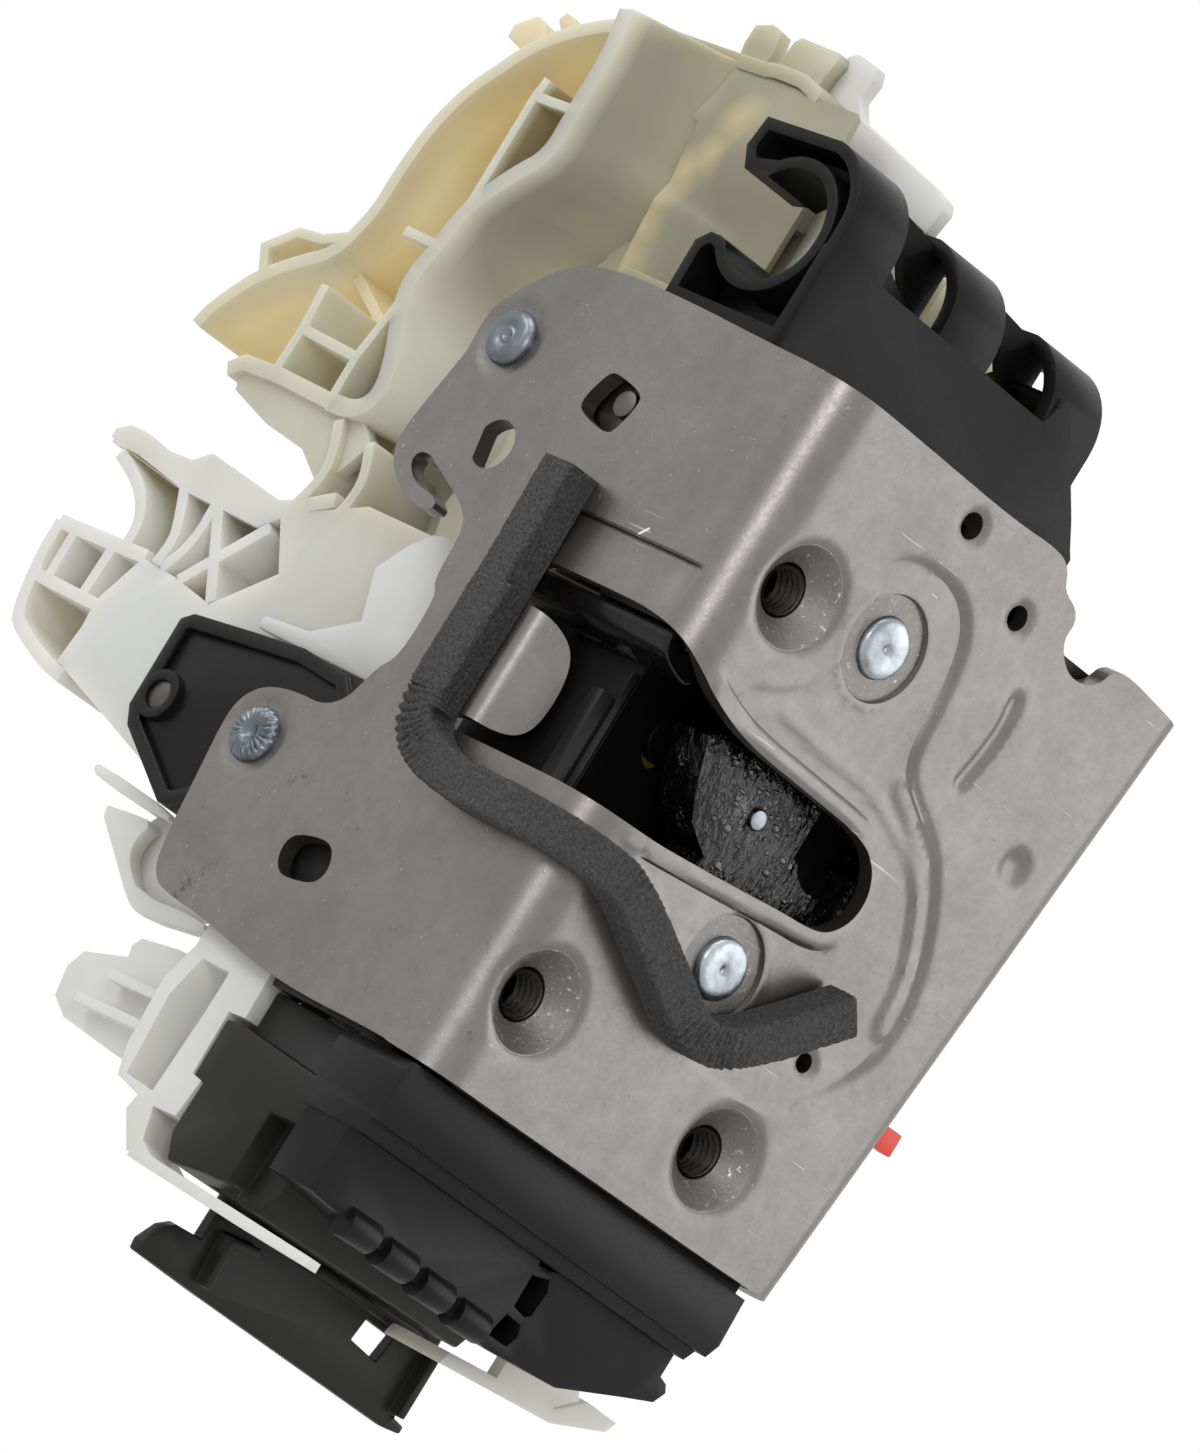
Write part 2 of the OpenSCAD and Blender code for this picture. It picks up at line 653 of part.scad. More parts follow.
// Rim of the bowl, from the crown down to the upper arm
function bowl_rim() = [
    [79.6, 112], [78.1, 105.7], [78.2, 98.1], [77.8, 91.7], [81.6, 87.7], [85.5, 82.2], [86.3, 76.3],
    [87.6, 71.7], [86.4, 67.3], [82.7, 61.5], [81.2, 56.8], [83.3, 53.8], [88.4, 53.5]
];

// Floor under the bowl and the pockets to its left
module bowl_base() {
    polygon([
        [40, 44], [82, 44], [84.6, 44.6], [89.4, 47.6], [97.7, 49], [106.4, 51.4], [106.4, 53.4], [100.4, 54.8],
        [100.2, 61], [89.2, 60.6], [89.4, 72], [88, 77], [86.4, 84], [86.4, 98.4], [84, 104], [84, crown_z - 1.6],
        [62, crown_z - 1], [52.8, crown_z - 0.6], [52, 109], [40, 104]
    ]);
}

module lower_outline() {
    polygon([
        [40, 2], [81.2, 2], [89, 5], [99.8, 7.3], [108.4, 9.3], [115.4, 11.4], [118, 13.6], [119.4, 19], [120.2, 22.4],
        [119.8, 26.4], [117.6, 27.4], [106, 27.6], [105, 31.3], [107.1, 33.9], [112.1, 35.3], [119.5, 37.9],
        [119.5, 39.6], [117.3, 40.7], [114.2, 40.7], [108.9, 39.8], [104.2, 40], [101.6, 41.8],
        [86.7, 40.3], [82, 47], [40, 47]
    ]);
}

module block_outline() {
    polygon([
        [40, 4], [81, 4], [97, 8.4], [106, 10.8], [105.4, 16], [105.8, 19.4], [102.4, 26.6], [95.4, 26.2],
        [87.6, 25], [79.6, 32], [85, 38.6], [72, 44], [40, 44]
    ]);
}

module cell_walls() {
    band(flowing([[118.8, 38.8], [113, 38.9], [103.2, 38.2], [86.6, 38.4], [78, 43]]), 2);
    band(flowing([[116.4, 37], [112.6, 35.6], [109, 33.6], [106.4, 30.2], [106.6, 26.6]]), 1.6);
    band(flowing([[102.8, 36.6], [101, 33.6], [99.4, 30.4], [100, 26.6]]), 1.6);
    band(flowing([[96.3, 37.6], [96, 31], [98.6, 26.4]]), 1.5);
    band([[96.4, 37.4], [87.6, 25.4]], 1.6);
    band([[94.8, 26], [85.4, 36.6]], 1.6);
    band([[119.4, 26.3], [102.2, 26.9]], 1.8);
    band([[115.9, 26.2], [115.8, 19]], 1.5);
    band([[108.3, 26.2], [108.6, 19]], 1.6);
    band([[119.4, 19.2], [104.5, 19]], 1.6);
    band(flowing([[119.2, 26.4], [119.2, 22], [117.4, 14], [115, 12.4], [107.8, 10], [104, 9.4]]), 1.8);
    band(flowing([[85, 52], [82.6, 47.6], [82.2, 44.6], [84, 40]]), 1.5);
    band(flowing([[78, 51], [75.8, 47.4], [75.4, 44.4], [76.6, 40]]), 1.5);
}

// Stiffening ribs between the bowl and the outer wall
module tray_ribs() {
    band([[86.9, 68.6], [88.5, 59.8], [88.4, 53.9]], 1.3);
    band([[88.2, 59.8], [100.2, 60.3]], 1.3);
    band([[100.2, 66.3], [99.6, 60.3], [99.9, 54]], 1.4);
    band([[93, 76.4], [85.6, 76.3]], 1.2);
    band([[85.9, 97.8], [77.4, 98.1]], 1.2);
    band([[85.2, 100.3], [85.6, 97.8], [85.4, 82]], 1.3);
}

module tab_shapes() {
    polygon([[109.6, 105.8], [109.7, 107.5], [106.8, 109.6], [104.7, 109], [100.8, 104.4], [103.6, 101.2], [106.2, 104.9]]);
    polygon([[103.1, 110.2], [102.5, 111.4], [100.4, 111], [97.4, 107.2], [99.4, 105.8], [101.8, 109.1]]);
    polygon([[71.8, 116.3], [71.7, 118.8], [69, 119.7], [67.1, 119.2], [66.3, 116.5], [67.2, 112.6], [70.8, 112.6]]);
    polygon([
        [64.5, 116.1], [64.2, 118.7], [63.4, 119.5], [56.3, 119.5], [55.8, 118.6], [56.3, 116.2], [56.6, 112.4],
        [63.2, 112.4]
    ]);
}

module actuator_case() {
    color(ivory) difference() {
        union() {
            slab_x(case_x, case_back) {
                difference() {
                    block_outline();
                    offset(delta = -case_wall) block_outline();
                }
                cell_walls();
            }
            difference() {
                union() {
                    slab_x(case_x, case_back + 9) tray_ribs();
                    slab_x(case_x, case_back - 0.6) band([[88, 53.6], [98.8, 53.9], [105.6, 53.6], [107.6, 52]], 2);
                    slab_x(case_back, case_back + 9) {
                        band([[100.1, 65.4], [112.6, 71.4]], 1.4);
                        band([[85.2, 99.6], [94, 110.2]], 1.3);
                    }
                    slab_x(rim_x, case_back + 10) band(flowing(outer_rim()), case_wall);
                    slab_x(case_back + 8.2, case_back + 9.8) polygon(concat(outer_rim(), [
                        [62, 104], [84, 90], [82, 56], [106, 52]
                    ]));
                }
                slab_x(case_back, cover_back + 1) offset(delta = 0.4) cover_outline();
            }
            slab_x(rim_x, case_back)
                band([[63, crown_z - 0.4], [60.5, crown_z], [56, crown_z], [53, crown_z - 0.8], [52.4, 108.6]], case_wall);
            slab_x(rim_x, case_back) band([[121.8, 65.6], [124.4, 69.2], [120.3, 72.5], [115.9, 72.9], [111.6, 74.6]], 1.3);
            slab_x(rim_x + 3, case_back) tab_shapes();
            multmatrix([
                [1, 0, 0, 0], [-bowl_lean, 1, 0, bowl_lean * case_x], [0.1, 0, 1, -0.1 * case_x], [0, 0, 0, 1]
            ]) slab_x(case_x, case_back - 3.6) band(flowing(bowl_rim()), 2.4);
            slab_x(case_back - 4, case_back - 1.7) polygon([
                [40, 44], [70, 44], [72, 50], [71, 56], [70, 62], [74, 70], [73, 80], [66.4, 92], [66, 104],
                [70, crown_z - 4], [76, crown_z - 1.6], [53, crown_z - 1.2], [52, 108.8], [40, 104]
            ]);
            rod_x(gear_y, gear_z, case_back - 4, case_back - 1.7, gear_r + 3, 64);
            slab_x(case_back - case_wall, case_back) {
                bowl_base();
                lower_outline();
            }
            box(case_x + 2, case_back, 40, 41.8, 43, 104);
            slab_x(case_x, case_x + case_wall) block_outline();
            slab_x(case_x, case_x + case_wall) polygon([
                [119.4, 38.4], [119.4, 39.6], [117.3, 40.7], [114.2, 40.7], [108.9, 39.8], [104.2, 40],
                [101.6, 41.8], [86.7, 40.1], [80, 41], [84.9, 38], [87.6, 36], [102.9, 36.2], [114.8, 38]
            ]);
            slab_x(case_x + 1.2, case_x + 3) polygon([
                [106.6, 52.4], [98.8, 54], [88.4, 53.6], [83.3, 54], [79, 51], [82, 45.4], [84.6, 44.4],
                [89.4, 47.1], [97.7, 48.1], [105.6, 50.2]
            ]);
            box(case_back - 9.4, case_back - 1.7, 41, worm_y + motor_r + 1.6, 53, 84);
            rod_x(46, 33, 8.9, case_x + 1, 2.5);
            rod_x(46, 33, 8.7, 9.05, 3.4);
            for (s = screw_at)
                rod_x(s[0], s[1], case_back - 5.6, case_back, 3.6, 32);
            rod_x(gear_y, gear_z, case_back - 5.6, case_back - 3, 4, 32);
        }
        for (s = screw_at)
            rod_x(s[0], s[1], case_back - 4.6, case_back + 1, 1.3, 32);
        rod_x(gear_y, gear_z, case_back - 4.4, case_back + 1, 2 + pin_gap, 32);
        rod_x(gear_y, gear_z, case_back - 2.2, case_back + 1, gear_r + 1.4, 64);
        box(case_back - 2.2, case_back + 1, worm_y - 4.8, worm_y + 5.2, 80, 103.6);
        box(case_back - 7.6, case_back + 1, 41.9, worm_y + motor_r + 0.6, 54.6, 83);
    }
}

module cover_outline() {
    polygon([
        [40, 6], [80, 6], [96, 12], [98, 26], [84, 40], [81, 50], [84, 60], [86.6, 70], [85, 80], [80.6, 90],
        [79.6, 103], [77, 105.6], [40, 105.6]
    ]);
}

module actuator_cover() {
    color(white) difference() {
        union() {
            difference() {
                slab_x(case_back + 0.1, cover_back) cover_outline();
                slab_x(case_back, cover_back - case_wall) offset(delta = -case_wall) cover_outline();
            }
            for (s = screw_at)
                rod_x(s[0], s[1], case_back + 0.1, cover_back - 0.5, 3.4, 32);
            rod_x(gear_y, gear_z, cover_back - 4.6, cover_back - 0.5, 4, 32);
        }
        for (s = screw_at)
            rod_x(s[0], s[1], case_back - 1, cover_back + 1, 1.7, 32);
        rod_x(gear_y, gear_z, cover_back - 5, cover_back - 2.2, 2 + pin_gap, 32);
    }
}

module rear_case() {
    color(ivory) difference() {
        union() {
            slab_y(rear_y, rear_back) polygon([
                [9, -11.6], [62, -11.6], [68, 4], [70, 40], [70, 68.6], [52, 70], [47, 75], [9, 76.6]
            ]);
            slab_y(rear_back + 0.6, rear_back + 2.4) polygon([[42, -8], [64, -8], [66, 84], [60, 94], [53, 101.6], [42, 103]]);
            box(44, 62, rear_back - 1, rear_back + 2, 10, 66);
            slab_y(rear_y, rear_y + 2) polygon([[55, -10.6], [55, -37.3], [60, -37], [64.8, -36.6], [68.4, -33.8], [64, -28], [62, -10.6]]);
            slab_y(rear_y, rear_y + 11) polygon([
                [45.8, -39.3], [66.2, -37.9], [74.8, -35.1], [75.6, -33.5], [69.9, -33.3], [65.7, -36.2],
                [46.3, -37.6]
            ]);
        }
        slab_y(rear_y + case_wall, rear_back - case_wall) polygon([
            [10.8, -9.8], [60.4, -9.8], [66.2, 4], [68.2, 40], [68.2, 67], [51, 68.2], [46, 73.2], [10.8, 74.8]
        ]);
        rod_y(23, 34, rear_y - 1, rear_y + 3, 4);
    }
}

module top_flap() {
    color(white) slab_x(case_back + 0.1, case_back + 2) polygon([
        [59, 105.9], [59, 114.2], [57.2, 115.1], [57.6, 117.9], [57, 120.1], [55.6, 120.8], [51.5, 120.1],
        [50.8, 118.5], [51.2, 115.9], [49.2, 113.6], [32.4, 109.5], [29.1, 108.4], [28.4, 107.2], [29.1, 103.7],
        [38.8, 105.9]
    ]);
}

module end_piece() {
    color(white) {
        difference() {
            slab_x(2.5, 14) polygon([
                [46.5, -12.9], [32.7, -12.9], [32.5, -17.9], [35.5, -18.1], [35.3, -26.4], [33.4, -26.7],
                [34, -31.7], [39.7, -32], [46.4, -30.6], [47.8, -27], [48.4, -18.1]
            ]);
            slab_x(1, 8) polygon([[44.3, -14], [39, -14], [39, -19], [39.7, -30.4], [45.2, -30], [46, -19.5]]);
        }
        slab_x(2.5, 8.6) polygon([[46.5, -13.6], [46.5, -9.9], [32.7, -11.9], [32.7, -13.6]]);
        slab_x(8, 10) polygon([
            [46, -13.6], [55, -13.9], [61.5, -14.7], [62.4, -16], [61.9, -17.4], [69.1, -19.2], [70.4, -21.6],
            [69.5, -25.4], [66.2, -27.2], [56, -28.2], [46, -28.4]
        ]);
        slab_x(5, 9) {
            band([[47, -20], [60, -20.4]], 1.2);
            band([[47, -24], [63, -24.6]], 1.2);
        }
        slab_x(2.5, 9) polygon([[33.6, -37.3], [38.2, -37.9], [42, -33.6], [41.4, -31.2], [38.4, -31.4], [36.6, -36]]);
        slab_x(2.5, 4.6) polygon([[37.6, -37.3], [33.4, -37.2], [1.8, -38.7], [1.8, -39.9], [16.7, -39.4], [37.6, -38.4]]);
    }
}

// Connector and bracket

module connector_shell() {
    color(black) difference() {
        union() {
            slab_x(2.5, 44) polygon([
                [32.2, -18.7], [15.4, -20.1], [15.4, -26], [20.4, -26.2], [20.4, -35.4], [31.4, -36.6],
                [33.2, -33.4], [33, -26.8], [35, -26.6], [35.1, -18.9]
            ]);
            slab_x(4.4, 44) polygon([[16, -13.6], [32.2, -13.2], [32.2, -20], [16, -21]]);
            slab_x(6, 44) polygon([[15.4, -22], [21.5, -22], [21.5, -37], [17, -37], [15.4, -34]]);
        }
        box(9, 40, 18, 30, -40, -17);
        box(10, 39, 18, 30, -18, -15);
    }
}

module connector_pins() {
    color([0.72, 0.66, 0.45]) {
        for (i = [0:9])
            for (j = [0:1])
                box(12 + 2.8 * i, 12.8 + 2.8 * i, 21.4 + 4.4 * j, 22.2 + 4.4 * j, -30, -15);
        box(11, 39, 20.4, 27.4, -17.2, -16.4);
    }
}

module bracket_plate() {
    color(black) difference() {
        union() {
            slab_y(32.4, 34.2) polygon([
                [7.2, -47.4], [7, -46], [8.6, -43.3], [10.3, -42.2], [14.7, -42], [14.8, -35.3], [56, -35.3],
                [56, -46.9], [58, -47.2], [58, -48.2], [55, -48.6], [18, -47.8]
            ]);
            slab_y(30.4, 33) band([[17.8, -46.6], [17.4, -40.4], [22, -39.8]], 1.2);
            slab_y(30.4, 33) band([[55, -46.6], [55, -38.6]], 1.2);
            box(20, 52, 31, 33.4, -38.2, -36.9);
        }
        slab_y(30, 36) polygon([[43.4, -42], [43.8, -39], [49.2, -39.2], [48.6, -42.6]]);
    }
}

// Drive

module motor_can() {
    color([0.60, 0.61, 0.63]) translate([case_back + 0.6, worm_y, 0]) difference() {
        union() {
            translate([0, 0, 56.5]) intersection() {
                cylinder(h = motor_l, r = motor_r, $fn = 96);
                translate([-7.6, -20, -1]) cube([15.2, 40, 60]);
            }
            translate([0, 0, 54.9]) cylinder(h = 2, r = 3.4, $fn = 48);
            translate([0, 0, 56 + motor_l]) cylinder(h = 1.6, r = 3.4, $fn = 48);
        }
        translate([0, 0, 50]) cylinder(h = 60, r = 1.2 + pin_gap, $fn = 32);
    }
}

module worm() {
    color([0.85, 0.82, 0.70]) translate([case_back + 0.6, worm_y, 0]) {
        translate([0, 0, 55.2]) cylinder(h = 47.6, r = 1.2, $fn = 32);
        translate([0, 0, 87.5]) cylinder(h = 14, r = 1.9, $fn = 32);
        for (i = [0:5])
            translate([0, 0, 88.6 + 2 * i]) cylinder(h = 0.9, r = 2.6, $fn = 32);
    }
}

module lock_gear() {
    rt = gear_r - 0.5;
    color(white) translate([0, gear_y, gear_z]) difference() {
        union() {
            rod_x(0, 0, case_back - 1.8, case_back + 2.4, rt, 96);
            for (i = [0:gear_teeth - 1])
                rotate([360 * i / gear_teeth, 0, 0])
                    translate([case_back - 1.8, -0.4, rt - 0.4]) cube([4.2, 0.8, 1.1]);
            rod_x(0, 0, case_back - 4.2, cover_back - 2.5, 2, 48);
            rod_x(0, 0, case_back + 2, case_back + 5, 5, 48);
        }
        rod_x(5.6, 0, 22, 32, 1.1, 24);
    }
}

module position_switch() {
    color([0.12, 0.12, 0.13]) {
        for (p = [[60, 15], [60, 32]])
            difference() {
                translate([case_back + 0.05, p[0], p[1] - 5]) cube([6, 13, 9]);
                rod_x(p[0] + 3, p[1], 26, 36, 1.1, 24);
                rod_x(p[0] + 10, p[1] - 2, 26, 36, 1.1, 24);
            }
    }
}

module case_screw() {
    color(zinc)
        for (s = screw_at) {
            rod_x(s[0], s[1], case_back - 4, cover_back + 0.3, 1.3, 32);
            rod_x(s[0], s[1], cover_back + 0.05, cover_back + 1.9, 2.6, 32);
        }
}

module red_tab() {
    color([0.85, 0.16, 0.10]) box(66.8, 76, 4.2, 6.2, 9.6, 12.6);
}

seat() latch_plate();
seat() foam_seal();
seat() latch_housing();
seat() cable_duct();
seat() lower_shroud();
seat() back_plate();
seat() claw_core();
seat() claw_skin();
seat() claw_stud();
seat() pawl();
seat() claw_pin();
seat() pawl_pin();
seat() claw_spring();
seat() pawl_spring();
seat() striker_buffer();
seat() upper_flange_rivet();
seat() lower_flange_rivet();
seat() outside_lever();
seat() inside_lever();
seat() inside_lever_pin();
seat() lock_lever();
seat() actuator_case();
seat() rear_case();
seat() actuator_cover();
seat() top_flap();
seat() motor_can();
seat() worm();
seat() lock_gear();
seat() position_switch();
seat() case_screw();
seat() connector_shell();
seat() connector_pins();
seat() end_piece();
seat() bracket_plate();
seat() red_tab();
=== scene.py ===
import json
import math
import random
from functools import reduce

import bmesh
import bpy
import numpy as np
from mathutils import Matrix, Vector, noise
from mathutils.geometry import delaunay_2d_cdt

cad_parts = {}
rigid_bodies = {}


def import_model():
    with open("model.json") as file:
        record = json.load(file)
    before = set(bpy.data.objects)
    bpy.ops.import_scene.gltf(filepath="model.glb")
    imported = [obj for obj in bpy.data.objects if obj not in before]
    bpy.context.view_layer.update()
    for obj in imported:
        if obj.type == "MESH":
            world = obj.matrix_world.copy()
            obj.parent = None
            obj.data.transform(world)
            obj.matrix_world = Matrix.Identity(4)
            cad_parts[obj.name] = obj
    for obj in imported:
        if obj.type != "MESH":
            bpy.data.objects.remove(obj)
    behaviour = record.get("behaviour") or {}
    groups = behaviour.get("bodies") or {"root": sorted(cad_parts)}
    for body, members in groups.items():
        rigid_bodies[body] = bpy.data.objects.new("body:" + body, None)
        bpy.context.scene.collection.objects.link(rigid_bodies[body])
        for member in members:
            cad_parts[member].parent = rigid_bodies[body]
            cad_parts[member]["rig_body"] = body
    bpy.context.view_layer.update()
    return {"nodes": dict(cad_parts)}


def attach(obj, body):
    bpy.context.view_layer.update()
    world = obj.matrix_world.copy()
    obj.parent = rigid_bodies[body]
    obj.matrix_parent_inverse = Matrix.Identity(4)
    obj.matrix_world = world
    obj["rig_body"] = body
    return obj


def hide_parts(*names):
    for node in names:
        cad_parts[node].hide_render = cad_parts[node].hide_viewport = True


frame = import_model()
print("frame loaded:", len(frame["nodes"]), "nodes")

# Drawing sizes are millimetres: x from the flange face, y from the shut face, z up the bend.
# The row frame has its origin at the lower screw's seat and is in metres.
seatCorner = (10.7, 3.3, 0.0)
screwSeats = ((10.7, 0.0), (12.6, 55.7), (47.9, -3.0))      # (x, z) of the threaded seats
rivetRings = ((32.9, 15.5), (28.4, 57.0))                   # (x, z) of the claw's pin and the pawl's pin
flangeRivets = ((52.4, 67.5), (54.4, 12.0))                 # (y, z) on the flange face
drilledHoles = (                                            # x, z, radius, radius of the countersink
    (30.1, 74.7, 1.7, 2.5),
    (44.1, 69.4, 1.6, 2.4),
    (52.4, 12.4, 1.25, 2.0),
)


def placed(x, y, z):
    return ((x - seatCorner[0]) / 1000, (y - seatCorner[1]) / 1000, (z - seatCorner[2]) / 1000)


def addObject(name, data):
    made = bpy.data.objects.new(name, data)
    bpy.context.scene.collection.objects.link(made)
    return made


# a node's input gets a link from a socket, or a fixed value
def feed(tree, node, key, value):
    if isinstance(value, bpy.types.NodeSocket):
        tree.links.new(value, node.inputs[key])
    elif value is not None:
        node.inputs[key].default_value = value


def addNode(tree, kind, given=None, operation=None):
    node = tree.nodes.new(kind)
    if operation:
        node.operation = operation
    for key, value in (given or {}).items():
        feed(tree, node, key, value)
    return node


# camera, floor and light

cameraSetup = {
    "right": (0.5944, -0.6134, 0.5200),
    "up": (-0.4399, 0.2933, 0.8488),
    "back": (-0.6731, -0.7333, -0.0955),
    "place": (-0.98941, -1.06539, -0.10847),
    "lens": 209.93,
    "sensor": 24.0,
}


def addCamera():
    right, up, back = (Vector(cameraSetup[key]).normalized() for key in ("right", "up", "back"))
    up = back.cross(right).normalized()
    data = bpy.data.cameras.new("viewCamera")
    data.sensor_width = cameraSetup["sensor"]
    data.lens = cameraSetup["lens"]
    data.clip_start, data.clip_end = 0.05, 20
    camera = addObject("viewCamera", data)
    turn = Matrix((right, up, back)).transposed().to_4x4()
    camera.matrix_world = Matrix.Translation(Vector(cameraSetup["place"])) @ turn
    bpy.context.scene.camera = camera
    bpy.context.scene.view_settings.view_transform = "Standard"


lightSetup = {
    # name: direction from the object, distance in metres, size, share of a white surface's brightness
    "frontBox": ((-0.62, -0.70, 0.22), 1.3, 0.28, 0.17),
    "rightBox": ((0.72, -0.62, 0.30), 1.1, 0.80, 0.24),
    "topBox": ((-0.35, -0.05, 1.0), 1.0, 0.60, 0.30),
    "leftBox": ((-0.80, 0.40, 0.60), 1.2, 0.60, 0.24),
}
worldLight = 0.52
lightAim = (0.02, 0.03, 0.03)


def addLights():
    for name, (way, distance, size, share) in lightSetup.items():
        data = bpy.data.lights.new(name, "AREA")
        data.shape = "SQUARE"
        data.size = size
        data.energy = share * math.pi * math.pi * distance * distance
        lamp = addObject(name, data)
        way = Vector(way).normalized()
        lamp.location = Vector(lightAim) + way * distance
        lamp.rotation_mode = "QUATERNION"
        lamp.rotation_quaternion = way.to_track_quat("Z", "Y")


# white where it is seen or mirrored, softer as light
def addSky():
    world = bpy.data.worlds.new("studio")
    bpy.context.scene.world = world
    world.use_nodes = True
    tree = world.node_tree
    tree.nodes.clear()
    rays = addNode(tree, "ShaderNodeLightPath").outputs
    shown = rays["Is Camera Ray"]
    for ray in ("Is Transmission Ray", "Is Glossy Ray"):
        shown = addNode(tree, "ShaderNodeMath", {0: shown, 1: rays[ray]}, "MAXIMUM").outputs[0]
    level = addNode(tree, "ShaderNodeMapRange", {"Value": shown, "To Min": worldLight, "To Max": 1.0})
    sky = addNode(tree, "ShaderNodeBackground", {"Color": (1, 1, 1, 1), "Strength": level.outputs["Result"]})
    addNode(tree, "ShaderNodeOutputWorld", {"Surface": sky.outputs[0]})


floorSize = {
    "half": 1.6,
    "low": -0.155,
    "tone": (0.86, 0.86, 0.85, 1),
    "roughness": 0.8,
}


def addFloor():
    half, low = floorSize["half"], floorSize["low"]
    mesh = bpy.data.meshes.new("floor")
    corners = [(-half, -half, low), (half, -half, low), (half, half, low), (-half, half, low)]
    mesh.from_pydata(corners, [], [(0, 1, 2, 3)])
    floor = addObject("floor", mesh)
    mat = bpy.data.materials.new("paleFloor")
    mat.use_nodes = True
    shader = mat.node_tree.nodes["Principled BSDF"]
    shader.inputs["Base Color"].default_value = floorSize["tone"]
    shader.inputs["Roughness"].default_value = floorSize["roughness"]
    mesh.materials.append(mat)


addCamera()
addLights()
addSky()
addFloor()
print("camera, light and floor ready")


# finishes: patterns on Object coordinates, with sizes and depths in millimetres

def colour(r, g, b):
    parts = [c / 255 for c in (r, g, b)]
    return (*(c / 12.92 if c <= 0.04045 else ((c + 0.055) / 1.055) ** 2.4 for c in parts), 1)


class Finish:
    def __init__(self, name):
        self.mat = bpy.data.materials.new(name)
        self.mat.use_nodes = True
        self.tree = self.mat.node_tree
        self.shader = self.tree.nodes["Principled BSDF"]
        self.coords = addNode(self.tree, "ShaderNodeTexCoord").outputs["Object"]

    def stretch(self, scale, turn=(0, 0, 0)):
        given = {"Scale": scale, "Rotation": turn, "Vector": self.coords}
        return addNode(self.tree, "ShaderNodeMapping", given).outputs[0]

    def noise(self, size, detail=3.0, rough=0.5, vector=None):
        given = {"Scale": 1000.0 / size, "Detail": detail, "Roughness": rough, "Vector": vector or self.coords}
        return addNode(self.tree, "ShaderNodeTexNoise", given).outputs["Fac"]

    def cells(self, size):
        given = {"Scale": 1000.0 / size, "Vector": self.coords}
        return addNode(self.tree, "ShaderNodeTexVoronoi", given).outputs["Distance"]

    def spread(self, value, low, high, toLow=0.0, toHigh=1.0):
        given = {"Value": value, "From Min": low, "From Max": high, "To Min": toLow, "To Max": toHigh}
        return addNode(self.tree, "ShaderNodeMapRange", given).outputs["Result"]

    # a ramp along one axis, between two places in metres
    def along(self, axis, low, high, toLow=0.0, toHigh=1.0):
        split = addNode(self.tree, "ShaderNodeSeparateXYZ", {0: self.coords})
        return self.spread(split.outputs[axis], low, high, toLow, toHigh)

    # 1 within the radius of a line along y (or x) through a place, or of the place itself, fading over soft
    def near(self, place, radius, soft, axis="y"):
        keep = {"y": (1, 0, 1), "x": (0, 1, 1), "none": (1, 1, 1)}[axis]
        flat = addNode(self.tree, "ShaderNodeVectorMath", {0: self.coords, 1: keep}, "MULTIPLY")
        spot = tuple(a * b for a, b in zip(placed(*place), keep))
        gap = addNode(self.tree, "ShaderNodeVectorMath", {0: flat.outputs[0], 1: spot}, "DISTANCE")
        return self.spread(gap.outputs["Value"], (radius + soft) / 1000, radius / 1000)

    def math(self, kind, a, b):
        return addNode(self.tree, "ShaderNodeMath", {0: a, 1: b}, kind).outputs[0]

    def times(self, *parts):
        return reduce(lambda a, b: self.math("MULTIPLY", a, b), parts)

    def most(self, parts):
        return reduce(lambda a, b: self.math("MAXIMUM", a, b), parts)

    def mix(self, share, a, b):
        node = self.tree.nodes.new("ShaderNodeMix")
        node.data_type = "RGBA"
        for key, value in ((0, share), (6, a), (7, b)):
            feed(self.tree, node, key, value)
        return node.outputs[2]

    # two tones in soft clouds
    def clouded(self, size, detail, rough, dark, light):
        return self.mix(self.spread(self.noise(size, detail, rough), 0.3, 0.7), colour(*dark), colour(*light))

    # tones laid over each other; each layer is a tone's name and the masks that are multiplied
    def layered(self, tone, tones, layers):
        for name, *masks in layers:
            tone = self.mix(self.times(*masks), tone, colour(*tones[name]))
        return tone

    def bump(self, height, depth, before=None):
        given = {"Distance": depth / 1000, "Height": height, "Normal": before}
        return addNode(self.tree, "ShaderNodeBump", given).outputs[0]

    def use(self, **sockets):
        for key, value in sockets.items():
            feed(self.tree, self.shader, key.replace("_", " "), value)
        return self.mat


steelTones = {
    "dark": (119, 116, 114),
    "light": (132, 129, 127),
    "mottled": (104, 101, 99),
    "speck": (206, 203, 199),
    "stain": (74, 71, 69),
    "scratch": (208, 205, 201),
    "film": (122, 117, 111),
    "glint": (214, 211, 205),
    "bore": (52, 48, 44),
    "rub": (58, 55, 53),
    "hatch": (208, 206, 203),
    "dent": (236, 234, 232),
    "stepShadow": (60, 57, 55),
}
scratchRuns = ((25, 0.012), (-40, 0.02), (74, 0.016))       # turn in degrees, squeeze along the scratch
rubSpots = ((51.5, -9.2, 0.3), (50.9, -7.9, 0.4), (50.2, -6.7, 0.4), (49.3, -5.1, 0.3), (48.6, -3.7, 0.2),
            (44.4, 9.1, 0.2), (42.9, 9.8, 0.25), (41.5, 10.3, 0.2))      # (y, z, radius) on the flange face
dentSpots = [(15.6 - 0.2 * i, 52.6 + 0.2 * i) for i in range(6)]
hatchSpot = (0, 15.4, 53.7)


